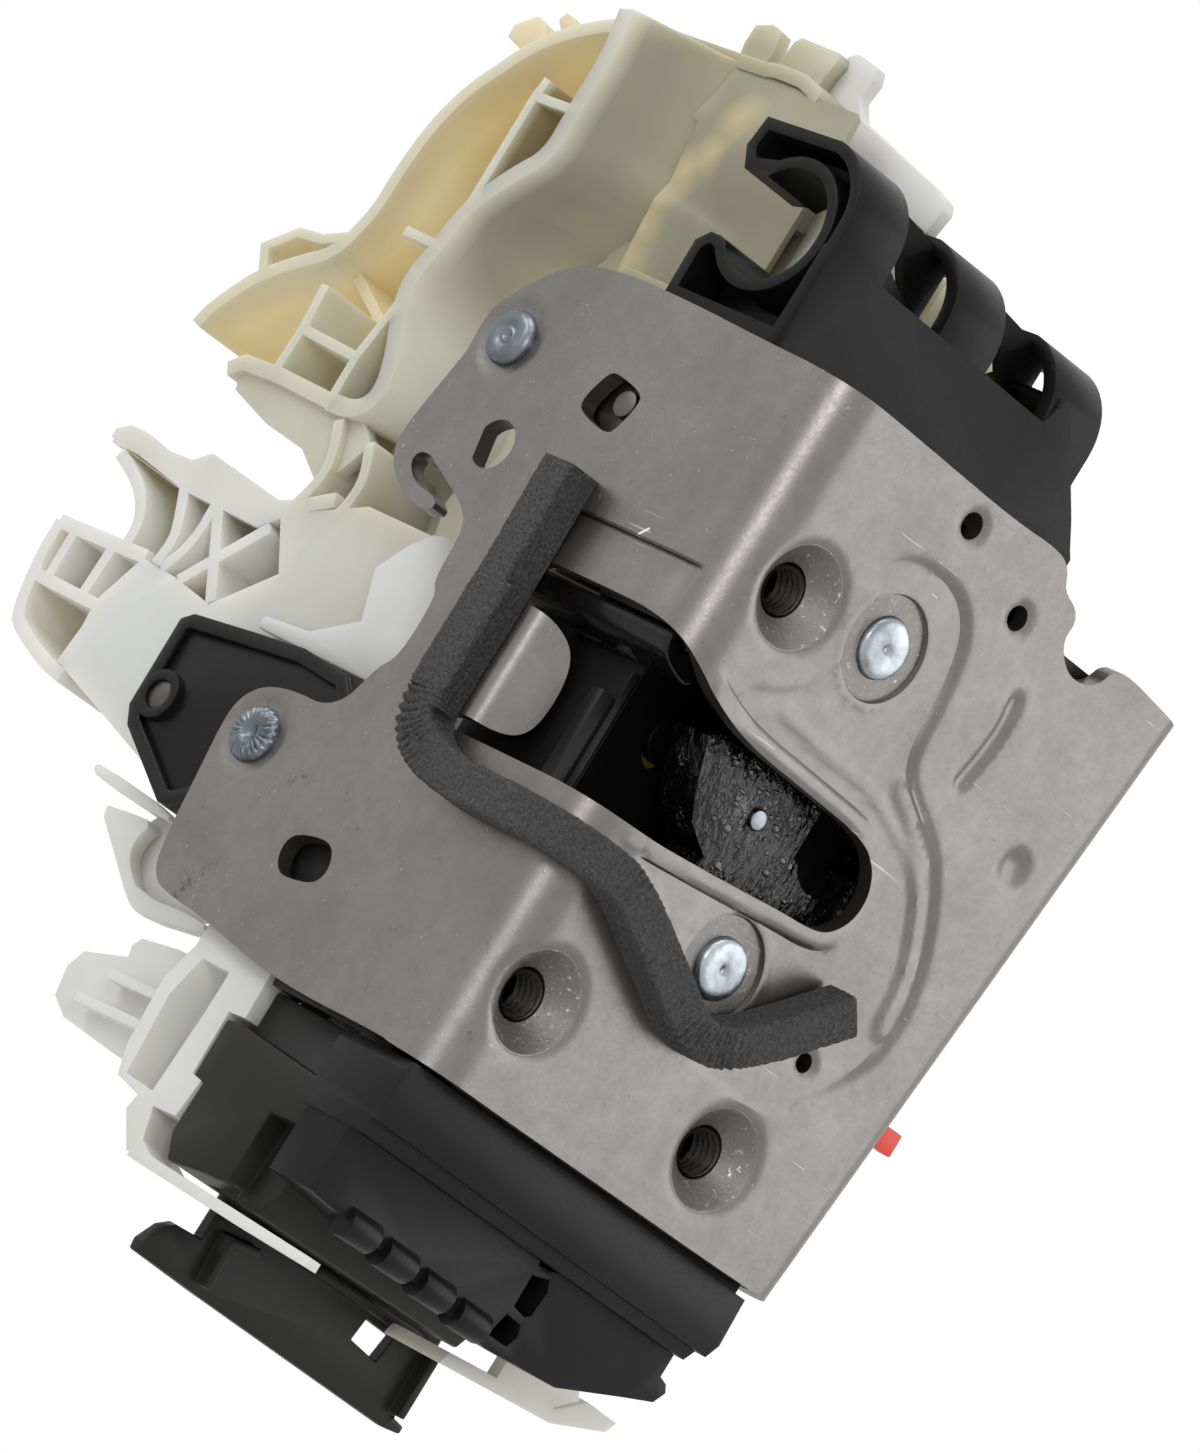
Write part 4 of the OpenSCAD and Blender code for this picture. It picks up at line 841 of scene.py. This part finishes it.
# how deep the front skin is pressed in, at each point of the flat map
def pressed(pts):
    size = plateSize
    s, z = pts[:, 0], pts[:, 1]
    deep = np.zeros(len(pts))

    face = s > 4      # the recess with its step, deeper away from its left edge
    spot = pts[face]
    fromStep = np.abs(gapTo(spot, stepPath))
    fromLeft = np.abs(gapTo(spot, leftPath))
    full = size["leftDepth"] + (size["stepDepth"] - size["leftDepth"]) * ease(fromLeft / size["leftFade"])
    shoulder = full * np.clip(1 - fromStep / size["stepShoulder"], 0, 1) ** 2
    slight = size["leftDepth"] * np.clip(1 - fromLeft / 0.5, 0, 1)
    inside = insideOf(spot, recessLoop)
    deep[face] = np.where(inside, full, np.maximum(shoulder, slight)) * ease((spot[:, 0] - 9) / 4)

    fromSlot = np.abs(gapTo(pts, slotRim, True))      # the slot's raised lip
    fade = np.where(z > 31, 1 - ease((s - 38) / 6), 1 - ease((s - 44) / 4)) * ease((s - 7) / 4)
    lip = 0.45 * ease((size["lipWidth"] - fromSlot) / 0.3)
    lip += 0.55 * np.clip(1 - ((fromSlot - 1.0) / 1.2) ** 2, 0, 1)
    deep -= size["lipRise"] * lip * fade

    inner, rib, groove = (np.abs(gapTo(pts, spaced(softened(line), step)))
                          for line, step in ((innerLine, 1.0), (ribLine, 1.0), (grooveLine, 0.8)))
    deep -= size["innerRise"] * np.exp(-(inner / size["innerWidth"]) ** 2) * ease((s - 17) / 4)
    deep -= size["ribRise"] * ease(1.6 - rib / size["ribWidth"]) * (deep > 0.3)
    deep += size["grooveDepth"] * np.clip(1 - (groove / size["grooveWidth"]) ** 2, 0, 1)

    dimple = np.hypot(s - dimpleSpot[0], z - dimpleSpot[1])
    deep += size["dimpleDepth"] * np.clip(1 - (dimple / size["dimpleRadius"]) ** 2, 0, 1)
    for x, up, hole, sink in drilledHoles:
        r = np.hypot(s - x, z - up)
        deep += size["sinkDepth"] * np.clip((sink - r) / (sink - hole), 0, 1)
    for x, up in rivetRings:
        r = np.hypot(s - x, z - up)
        deep += size["ringDepth"] * ease((size["ringRadius"] - r) / 0.22)
        deep -= size["ringRise"] * np.exp(-((r - 7.1) / 0.4) ** 2)
    for x, up in screwSeats:
        r = np.hypot(s - x, z - up)
        lead = size["coneLead"] * (np.clip(size["coneReach"] - r, 0, 9) / 1.5) ** 2
        wall = size["coneLead"] + size["coneSlope"] * (size["coneRadius"] - r)
        cone = np.where(r > size["coneRadius"], lead, wall)
        deep = np.where(r < size["coneReach"], deep * ease((r - 4) / 3.9) + cone, deep)

    side = s < bendEnd + 6      # the flange face: a sunk panel under its seam, and the rivets' seats
    below = (z[side] < 52.4) & (s[side] > sideZero - 29.4)
    level = np.where(below, ease((size["panelTop"] - z[side]) / 0.14), 0) * ease((s[side] + 25.9) / 0.8)
    share = 0.35 + 0.65 * ease((z[side] - 45) / 7)
    deep[side] += size["panelDepth"] * level * ease((-0.6 - s[side]) / 1.6) * share
    for y, up in flangeRivets:
        r = np.hypot(s - (sideZero - y), z - up)
        deep += size["rivetSink"] * ease((5.2 - r) / 0.8)
    return np.maximum(deep, -0.25)


# flat map to the bent sheet, depth h below its outer skin
def bent(pts, h):
    s, z = pts[:, 0], pts[:, 1]
    x, y, up = s.copy(), h.copy(), z.copy()

    radius = plateSize["bendRadius"]
    turn = np.clip((radius - s) / radius, 0, math.pi / 2)
    onBend = s < radius
    x[onBend] = (radius - (radius - h) * np.sin(turn))[onBend]
    y[onBend] = (radius - (radius - h) * np.cos(turn))[onBend]
    flat = s < bendEnd
    x[flat] = h[flat]
    y[flat] = (sideZero - s)[flat]

    start, radius = plateSize["tongueStart"], plateSize["tongueRadius"]      # the tongue turns in by 60 degrees
    tongue = (s > start) & (s < -11) & (z > 23.6) & (z < 40.4)
    turn = np.clip((s - start) / radius, 0, math.pi / 3)
    run = np.clip(s - start - radius * math.pi / 3, 0, None)
    x[tongue] = (radius - (radius - h) * np.cos(turn) + 0.866 * run)[tongue]
    y[tongue] = (sideZero - start - (radius - h) * np.sin(turn) - 0.5 * run)[tongue]

    radius = plateSize["foldRadius"]      # the far edge folds back along a leaning line
    lean, level = math.sin(edgeLean), math.cos(edgeLean)
    u = (s - foldCorner[0]) * level - (z - foldCorner[1]) * lean
    w = (s - foldCorner[0]) * lean + (z - foldCorner[1]) * level
    turn = np.clip((u + radius) / radius, 0, math.pi / 2)
    run = np.clip(u + radius - radius * math.pi / 2, 0, None)
    across = (radius - h) * np.sin(turn) - radius
    over = u > -radius
    y[over] = (radius - (radius - h) * np.cos(turn) + run)[over]
    x[over] = (foldCorner[0] + across * level + w * lean)[over]
    up[over] = (foldCorner[1] - across * lean + w * level)[over]
    return np.column_stack([x - seatCorner[0], y - seatCorner[1], up]) / 1000


# a tube round an axis that runs into the door; each row is (radius, depth)
def addTube(work, cx, cz, rows, around=64, twist=None):
    rings = []
    for radius, depth in rows:
        turns = [2 * math.pi * i / around for i in range(around)]
        reach = [twist(radius, depth, a) if twist else radius for a in turns]
        rings.append([work.verts.new(placed(cx + r * math.cos(a), depth, cz + r * math.sin(a)))
                      for r, a in zip(reach, turns)])
    joined(work, rings, ends=False)


threadSize = {
    "pitch": 1.0,
    "bore": 2.98,
    "tall": 0.5,
    "start": 3.3,
    "end": 8.4,
    "run": 0.5,
}


def threadRadius(radius, depth, angle):
    if radius > 4:
        return radius
    size = threadSize
    part = (depth / size["pitch"] - angle / (2 * math.pi)) % 1
    crest = max(0, min(1, (1 - abs(2 * part - 1)) * 1.35 - 0.15))
    fade = min(1, (depth - size["start"]) / size["run"], (size["end"] - depth) / size["run"])
    return size["bore"] - size["tall"] * crest * max(0, fade)


def plateHoles():
    holes = [slotRim]
    holes += [ringAt(x, z, 3.4) for x, z in screwSeats] + [ringAt(x, z, 3.95) for x, z in rivetRings]
    holes += [ringAt(x, z, radius, 0.6) for x, z, radius, sink in drilledHoles]
    holes += [ringAt(sideZero - y, z, 2.7, 0.6) for y, z in flangeRivets]
    sight = ringAt(sideZero - 45.3, 55.1, 3.2, 0.5)      # round, with one side cut straight
    sight[:, 0] = np.maximum(sight[:, 0], sideZero - 46.9 - (sight[:, 1] - 51) * 0.23)
    return holes + [sight, spaced(softened(sideWindow, True), 0.6, True),
                    spaced(softened(lowerHole, True, 1), 0.6, True), spaced(foldHole, 0.6, True)]


def closedLines(spots, radii):
    loops = [ringAt(x, z, radius) for x, z in spots for radius in radii]
    return [np.vstack([loop, loop[:1]]) for loop in loops]


# lines that the mesh follows, so that pressed edges come out clean
def plateLines():
    lipPath = spaced(softened([(2.5, 44.3)] + slotFoot[:-1] + [(13, 22.9)]), 0.8)
    lines = [shifted(stepPath, by) for by in (0.0, 0.3, 0.65, 1.1, 1.7)]
    lines += [shifted(lipPath, by) for by in (0.5, 1.0, 1.6, 2.1, 2.4)]
    lines += [shifted(spaced(softened(grooveLine), 0.8), by) for by in (-1.3, -0.7, 0, 0.7, 1.3)]
    lines += closedLines(screwSeats, (4.4, 5.5, 6.1, 6.4, 6.8, 7.3, 7.9))
    lines += closedLines(rivetRings, (5.4, 6.1, 6.48, 6.7, 7.1))
    lines += [leftPath, shifted(leftPath, 0.5)]
    return lines + [spaced([(s, z - drop) for s, z in panelLine], 0.7) for drop in (0.02, 0.18)]


def makePlate():
    outline = spaced(softened([*frontOutline, *sideOutline], True), 0.8, True)
    pts, tris = filled(outline, plateHoles(), plateLines(), plateSize["grid"])
    ab, ac = pts[tris[:, 1]] - pts[tris[:, 0]], pts[tris[:, 2]] - pts[tris[:, 0]]
    flip = ab[:, 0] * ac[:, 1] - ab[:, 1] * ac[:, 0] < 0
    tris[flip] = tris[flip][:, ::-1]
    deep = pressed(pts)
    work = bmesh.new()
    front = [work.verts.new(p) for p in bent(pts, deep)]
    rear = [work.verts.new(p) for p in bent(pts, plateSize["sheet"] + deep * 0.9)]
    for a, b, c in tris:
        work.faces.new((front[a], front[b], front[c]))
        work.faces.new((rear[c], rear[b], rear[a]))
    used = dict.fromkeys(pair for a, b, c in tris for pair in ((a, b), (b, c), (c, a)))
    rim = [(a, b) for a, b in used if (b, a) not in used]
    for a, b in rim:
        work.faces.new((front[b], front[a], rear[a], rear[b]))
    bmesh.ops.delete(work, geom=[v for v in work.verts if not v.link_faces], context="VERTS")
    rimKeys = {frozenset((skin[a], skin[b])) for skin in (front, rear) for a, b in rim}
    rounded(work, [e for e in work.edges if frozenset(e.verts) in rimKeys], plateSize["rimRadius"])
    bore = [(3.4, 3.2), (2.98, 3.25)] + [(2.98, 3.3 + 0.1 * i) for i in range(51)]
    for x, z in screwSeats:
        addTube(work, x, z, bore + [(4.3, 8.3), (4.6, 8.0), (4.6, 2.6)], twist=threadRadius)
    bmesh.ops.recalc_face_normals(work, faces=work.faces)
    return finishPiece(meshFrom(work, "latchPlate"), "latch_plate", "rolledSteel", 32)


# what shows in the slot: the black roll along its upper edge, a thin black panel behind the tongue that stands
# for the shade there, and a plug in the housing's round hole that leaves a crescent of the case to see

rollSize = {
    "near": 5.0,
    "far": 32.0,
    "soft": 0.45,
    "outline": [(2.8, 44.9), (2.9, 43), (3.6, 41.6), (5.8, 40.6), (8.8, 39.9), (10.1, 40.9), (10.3, 43.2),
                (9.4, 45.1), (6, 45.7)],
}
shadePanelBlock = (8.55, 8.9, 12.0, 24.4, 20.5, 46.5)
plugRows = [(0.01, 18.2), (2.7, 18.2), (2.85, 18.4), (2.85, 19.4), (0.01, 19.4)]
plugSpot = (23.5, 35.3)


def rolledBar():
    near, soft = rollSize["near"], rollSize["soft"]
    loop = spaced(softened(rollSize["outline"], True), 0.35, True)
    mid = loop.mean(axis=0)
    rows = [(near + soft * 0.6, 0.35), (near + soft * 0.35, 0.72)]      # (y, share of the outline)
    for a in np.linspace(0, math.pi / 2, 4):
        rows.append((near + soft * (1 - math.cos(a)), 1 - soft * (1 - math.sin(a)) / 3.2))
    rows += [(y, 1.0) for y in np.linspace(near + 1.5, rollSize["far"], 14)]
    work = bmesh.new()
    rings = []
    for y, share in rows:
        spots = mid + (loop - mid) * share
        rings.append([work.verts.new(placed(x, y, z)) for x, z in spots])
    joined(work, rings)
    bmesh.ops.recalc_face_normals(work, faces=work.faces)
    splitFaces(work)
    return meshFrom(work, "slotRoll")


def plugMesh():
    work = bmesh.new()
    addTube(work, *plugSpot, plugRows, 48)
    bmesh.ops.recalc_face_normals(work, faces=work.faces)
    return meshFrom(work, "holePlug")


addPiece("slotRoll", rolledBar(), "satinBlack", "latch_housing")
# painted shade: a thin black panel behind the tongue
addPiece("slotShadePanel", blockMesh("slotShadePanel", [shadePanelBlock]), "matBlack", "latch_housing")
addPiece("holePlug", plugMesh(), "matBlack", "latch_housing")

# small mouldings beside the plate: a thin bar, a wing in two steps, a black sheet behind the lower hole that
# stands for the shade inside it, and the lever's raised border. Corners are (y, z) in millimetres, with where
# they start and end in x.

sideMouldings = {
    # piece: finish, record slot, x from, x to, outline
    "thinBar": ("whitePlastic", "white_plastic", 10, 12, [
        (87.8, 1.0), (87.2, 1.9), (71.1, 0.4), (71.1, -1), (86.3, 0.2)]),
    "wingEdge": ("whitePlastic", "white_plastic", 10, 12.2, [
        (83.4, -2.4), (77.5, -1.8), (73, -1.6), (74.3, -4.9), (73, -7.3), (68.7, -9.9), (56, -9.2), (54.5, -10.8),
        (67, -12.2), (69.9, -11.3), (75.3, -7.7)]),
    "wingFloor": ("whitePlastic", "white_plastic", 12.8, 13.8, [
        (77, -1.0), (77.8, -4.6), (76.2, -8), (72, -11), (58, -10), (58.3, -3.6), (63, 0.6), (74, 0.6)]),
    # painted shade: a black sheet where the hole shows only dark
    "holeShadeSheet": ("matBlack", "black_plastic", 2.9, 3.4, [(31, -4), (45, -4), (45, 8), (31, 8)]),
}
mouldingEdge = 0.25


def slabMesh(name, outline, x0, x1):
    loop = softened(outline, True, 1)
    work = bmesh.new()
    joined(work, [[work.verts.new(placed(x, y, z)) for y, z in loop] for x in (x0, x1)])
    bmesh.ops.recalc_face_normals(work, faces=work.faces)
    rounded(work, sharpEdges(work, 40), mouldingEdge)
    splitFaces(work)
    return meshFrom(work, name)


for name, (finishName, slotName, x0, x1, outline) in sideMouldings.items():
    addPiece(name, slabMesh(name, outline, x0, x1), finishName, "end_piece")

leverSize = {
    "borderWidth": 1.9,
    "borderEdge": 0.3,
    "borderFrom": 3.5,
    "borderTo": 4.5,
    "outline": [(47, 21), (50.1, 23.6), (59.1, 24.2), (68.6, 23.3), (79.1, 22.2), (80.9, 21), (80.7, 9),
                (79, 6.6), (67.2, 0.1), (65.4, 0.2), (60, 3.4), (50, 3), (46, 8)],
}


def borderMesh():
    outer = [Vector(p) for p in leverSize["outline"]]
    inner = []
    for i, p in enumerate(outer):
        a, b = (p - outer[i - 1]).normalized(), (outer[(i + 1) % len(outer)] - p).normalized()
        inward = Vector((a.y + b.y, -a.x - b.x)).normalized()
        inner.append(p + inward * leverSize["borderWidth"] / max(0.5, math.cos(a.angle(b) / 2)))
    low, high = leverSize["borderFrom"], leverSize["borderTo"]
    work = bmesh.new()
    rings = [[work.verts.new(placed(x, p.x, p.y)) for p in loop]
             for loop, x in ((outer, high), (outer, low), (inner, low), (inner, high))]
    joined(work, rings + rings[:1], ends=False)
    bmesh.ops.recalc_face_normals(work, faces=work.faces)
    rounded(work, sharpEdges(work, 40), leverSize["borderEdge"])
    return meshFrom(work, "leverBorder")


addPiece("leverBorder", borderMesh(), "blackPlastic", "inside_lever")

# the bowl's folded floor: corners as (y, z) seen at x 20, and how far each lies behind that plane

foldCorners = [
    (84.1, 108.5, -5), (67, 104.2, 0), (57.7, 107.1, -1.4), (43, 110.5, -1), (65.6, 96, -0.2), (57, 105.1, -3),
    (43, 108.5, -2.6), (66.5, 93.6, -0.6), (65.5, 84.8, 1), (63, 74, 1.8), (43, 92, -0.6), (43, 74, 1.8),
    (82, 112, -3), (66, 112.6, 1.4), (43, 112.6, 1.4),
]
foldFaces = [(0, 1, 13, 12), (1, 2, 13), (2, 3, 14, 13), (1, 4, 5, 2), (2, 5, 6, 3), (4, 7, 10, 5), (5, 10, 6),
             (7, 8, 10), (8, 9, 11, 10)]
floorSheet = 0.9


def makeFoldedFloor():
    work = bmesh.new()
    verts = [work.verts.new(placed(20 + dx, y + 1.17 * dx, z + 0.2 * dx)) for y, z, dx in foldCorners]
    for face in foldFaces:
        work.faces.new([verts[i] for i in face])
    bmesh.ops.triangulate(work, faces=work.faces)
    bmesh.ops.subdivide_edges(work, edges=work.edges, cuts=9, use_grid_fill=True)
    inner = [v for v in work.verts if not v.is_boundary]
    for _ in range(5):
        bmesh.ops.smooth_vert(work, verts=inner, factor=0.5, use_axis_x=True, use_axis_y=True, use_axis_z=True)
    bmesh.ops.recalc_face_normals(work, faces=work.faces)
    bmesh.ops.solidify(work, geom=work.faces, thickness=floorSheet / 1000)
    bmesh.ops.recalc_face_normals(work, faces=work.faces)
    return meshFrom(work, "foldedFloor")


addPiece("foldedFloor", makeFoldedFloor(), "bowlPlastic", "actuator_case", 50)

# drops of grease strewn by a small node tree over the patch they lie on

greaseSize = {
    "count": 1.3e5,
    "drop": 0.00055,
    "seed": 4,
    "flattest": (0.4, 0.4, 0.15),
    "fullest": (1.5, 1.1, 0.35),
}


def dropTree():
    tree = bpy.data.node_groups.new("strewnDrops", "GeometryNodeTree")
    for label, kind in (("Patch", "Geometry"), ("Count", "Float"), ("Drop", "Float"), ("Seed", "Int"),
                        ("Finish", "Material")):
        tree.interface.new_socket(label, in_out="INPUT", socket_type="NodeSocket" + kind)
    tree.interface.new_socket("Drops", in_out="OUTPUT", socket_type="NodeSocketGeometry")
    given = addNode(tree, "NodeGroupInput").outputs
    spots = addNode(tree, "GeometryNodeDistributePointsOnFaces", {
        "Mesh": given["Patch"], "Density": given["Count"], "Seed": given["Seed"]}).outputs
    ball = addNode(tree, "GeometryNodeMeshIcoSphere", {"Radius": 1.0, "Subdivisions": 2}).outputs
    vary = tree.nodes.new("FunctionNodeRandomValue")
    vary.data_type = "FLOAT_VECTOR"
    for key, value in ((0, greaseSize["flattest"]), (1, greaseSize["fullest"]), ("Seed", given["Seed"])):
        feed(tree, vary, key, value)
    size = addNode(tree, "ShaderNodeVectorMath", None, "SCALE")
    feed(tree, size, 0, vary.outputs[0])
    feed(tree, size, "Scale", given["Drop"])
    strewn = addNode(tree, "GeometryNodeInstanceOnPoints", {
        "Points": spots["Points"], "Instance": ball["Mesh"], "Rotation": spots["Rotation"],
        "Scale": size.outputs[0]}).outputs
    real = addNode(tree, "GeometryNodeRealizeInstances", {"Geometry": strewn["Instances"]}).outputs
    smooth = addNode(tree, "GeometryNodeSetShadeSmooth", {"Geometry": real["Geometry"]}).outputs
    paint = addNode(tree, "GeometryNodeSetMaterial", {
        "Geometry": smooth["Geometry"], "Material": given["Finish"]}).outputs
    addNode(tree, "NodeGroupOutput", {"Drops": paint["Geometry"]})
    return tree


def strewDrops(name, patch, nodeName):
    host = addObject(name + "Host", patch)
    tree = dropTree()
    strew = host.modifiers.new("drops", "NODES")
    strew.node_group = tree
    keys = {item.name: item.identifier for item in tree.interface.items_tree if item.in_out == "INPUT"}
    for label in ("Count", "Drop", "Seed"):
        strew[keys[label]] = greaseSize[label.lower()]
    strew[keys["Finish"]] = finishes["clearGrease"]
    graph = bpy.context.evaluated_depsgraph_get()
    mesh = bpy.data.meshes.new_from_object(host.evaluated_get(graph))
    bpy.data.objects.remove(host)
    addPiece(name, mesh, "clearGrease", nodeName, 180)


# the skin's faces that look out of the slot
def clawPatch():
    work = bmesh.new()
    work.from_mesh(frame["nodes"]["claw_skin"].data)
    bmesh.ops.triangulate(work, faces=work.faces)
    low, high = Vector(placed(20, 0, 22)), Vector(placed(44, 30, 48))

    def inSight(face):
        mid = face.calc_center_median()
        return face.normal.y <= -0.5 and all(low[i] < mid[i] < high[i] for i in (0, 2))

    bmesh.ops.delete(work, geom=[face for face in work.faces if not inSight(face)], context="FACES")
    return meshFrom(work, "clawPatch")


strewDrops("clawGrease", clawPatch(), "claw_skin")
print("grease strewn")

makePlate()
print("plate stamped")

# pivot pins and flange rivets: turned profiles, each row (radius, depth below the sheet's skin)

pinRows = [(0.02, 0.16), (0.3, 0.14), (0.5, -0.02), (0.8, -0.12), (1.4, -0.16), (2.4, -0.2), (3.1, -0.16),
           (3.55, 0.0), (3.8, 0.3), (3.88, 0.7), (3.88, 16.3), (4.6, 16.35), (4.6, 17.1), (4.4, 17.3),
           (0.02, 17.3)]
shankRows = [(3.6, 0.3), (2.6, 0.35), (2.6, 8.1), (3.4, 8.15), (3.4, 8.9), (0.02, 8.9)]
rivetRows = [(0.02, -0.62), (0.3, -0.62), (0.5, -0.8), (0.8, -0.88), (1.0, -0.78), (1.25, -0.76), (1.5, -0.9),
             (2.2, -1.0), (2.8, -0.98), (3.2, -0.8), (3.45, -0.45), (3.6, -0.1)] + shankRows
crownRows = [(0.02, -0.45), (0.5, -0.45), (0.85, -0.7), (1.2, -0.98), (1.6, -1.05), (2.3, -1.08), (2.9, -0.95),
             (3.3, -0.6), (3.6, -0.15)] + shankRows
headWear = {
    "dent": 0.07,
    "dentScale": 0.9,
    "outOfRound": 0.012,
    "oddScale": 1.5,
    "toothDepth": 0.2,
}


def turnedPiece(nodeName, where, rows, finishName="brightZinc", teeth=0, seed=0):
    rng = random.Random(seed)
    shift = Vector((rng.uniform(0, 50), rng.uniform(0, 50), rng.uniform(0, 50)))
    turns = [2 * math.pi * i / 96 for i in range(96)]
    work = bmesh.new()
    rings = []
    for radius, depth in rows:
        ring = []
        for a in turns:
            r, d = radius, depth
            if d < 0.4 and r > 0.4:
                flat = Vector((r * math.cos(a), r * math.sin(a), 0))
                rim = Vector((math.cos(a), math.sin(a), 3))
                d += headWear["dent"] * noise.noise(flat * headWear["dentScale"] + shift)
                r *= 1 + headWear["outOfRound"] * noise.noise(rim * headWear["oddScale"] + shift)
            if teeth and 2.2 < radius < 3.5 and depth < 0:
                d += headWear["toothDepth"] * max(-0.5, math.cos(teeth * a))
            first, up = where[0] + r * math.cos(a), where[1] + r * math.sin(a)
            spot = (d, first, up) if nodeName.endswith("rivet") else (first, d, up)
            ring.append(work.verts.new(placed(*spot)))
        rings.append(ring)
    joined(work, rings)
    bmesh.ops.recalc_face_normals(work, faces=work.faces)
    return finishPiece(meshFrom(work, nodeName + "Turned"), nodeName, finishName, 40)


turnedPiece("pawl_pin", rivetRings[1], pinRows, seed=3)
turnedPiece("claw_pin", rivetRings[0], pinRows, seed=8)
turnedPiece("upper_flange_rivet", flangeRivets[0], rivetRows, "dullZinc", seed=5)
turnedPiece("lower_flange_rivet", flangeRivets[1], crownRows, "dullZinc", teeth=22, seed=11)
print("pins and rivets turned")

# foam strip: a soft block swept along the sheet's flat map and over its bend

foamSize = {
    "width": 5.2,
    "height": 4.9,
    "tallest": 4.98,
    "corner": 0.55,
    "step": 0.22,
    "roughness": 0.10,
    "creaseDepth": 0.75,
    "creaseSpacing": 1.35,
}
foamPath = onSide([
    (28.9, 56.0), (28.6, 47), (28.4, 38), (28.6, 27), (28.3, 22.6), (25.3, 19.0), (18, 17.2), (8, 17.2),
]) + [
    (4, 17.2), (9, 16.7), (13, 15.2), (23.8, 10.2), (29, 7.6), (33.5, 7.0), (37.4, 8.7), (42.9, 12.9),
    (50.5, 19.7),
]


# the strip's section as (across, up), with round upper corners
def foamSection():
    wide, high, step, corner = foamSize["width"] / 2, foamSize["height"], foamSize["step"], foamSize["corner"]
    quarter = np.linspace(0, math.pi / 2, 4)[:-1]
    turns = [(corner * (1 - math.cos(a)), corner * (1 - math.sin(a))) for a in quarter]
    section = [(-wide, h) for h in np.arange(0, high - corner, step)]
    section += [(-wide + a, high - b) for a, b in turns]
    section += [(v, high) for v in np.arange(-wide + corner, wide - corner, step)]
    section += [(wide - b, high - a) for a, b in turns]
    return section + [(wide, h) for h in np.arange(high - corner, 0.01, -step)] + [(wide, 0)]


def makeFoam():
    size = foamSize
    wide, high, step = size["width"] / 2, size["height"], size["step"]
    path = spaced(softened(foamPath), step)
    way = np.gradient(path, axis=0)
    way /= np.linalg.norm(way, axis=1)[:, None]
    side = np.column_stack([-way[:, 1], way[:, 0]])
    turning = np.gradient(np.unwrap(np.arctan2(way[:, 1], way[:, 0])))
    kernel = np.exp(-np.linspace(-2, 2, 33) ** 2)
    bend = np.convolve(np.abs(turning / step), kernel / kernel.sum(), "same")
    turnSide = np.sign(np.convolve(turning, kernel, "same"))
    section = foamSection()
    flat, height, crease = [], [], 0.0
    for k, (p, q) in enumerate(zip(path, side)):
        crease += step / (size["creaseSpacing"] * (0.75 + 0.5 * noise.noise(Vector((k * 0.11, 7, 0)))))
        for v, h in section:
            spot = Vector((p[0], p[1], h)) + Vector((q[0], q[1], 0)) * v
            rough = noise.noise(spot * 1.9) + 0.6 * noise.noise(spot * 4.2)
            pull = size["roughness"] * rough * (0.3 + 0.7 * min(1, h / 1.0))
            outer = 0.5 + 0.5 * turnSide[k] * (-v / wide)      # creases open on the inside of a turn
            amount = min(1, max(0, bend[k] - 0.02) / 0.05) * (0.25 + 0.75 * outer) * min(1, h / 1.5)
            amount *= 1 - 0.45 * abs(v / wide) ** 8
            drift = 0.4 * noise.noise(spot * 0.38) + 0.12 * noise.noise(spot * 1.3)
            pull -= size["creaseDepth"] * (1 - abs(math.sin(math.pi * (crease + drift))) ** 0.75) * amount
            out = v * (1 + pull / wide * (abs(v) / wide))
            up = h + pull * (h / high) ** 1.5 + 0.12 * noise.noise(Vector((k * 0.03, v * 0.4, 5))) * (h / high)
            flat.append((p[0] + q[0] * out, p[1] + q[1] * out))
            height.append(-min(up, size["tallest"]))
    work = bmesh.new()
    verts = [work.verts.new(spot) for spot in bent(np.array(flat), np.array(height))]
    joined(work, [verts[i:i + len(section)] for i in range(0, len(verts), len(section))])
    splitFaces(work)
    bmesh.ops.recalc_face_normals(work, faces=work.faces)
    piece = finishPiece(meshFrom(work, "foamStrip"), "foam_seal", "closedCellFoam", 60)
    return piece


makeFoam()
print("foam laid")
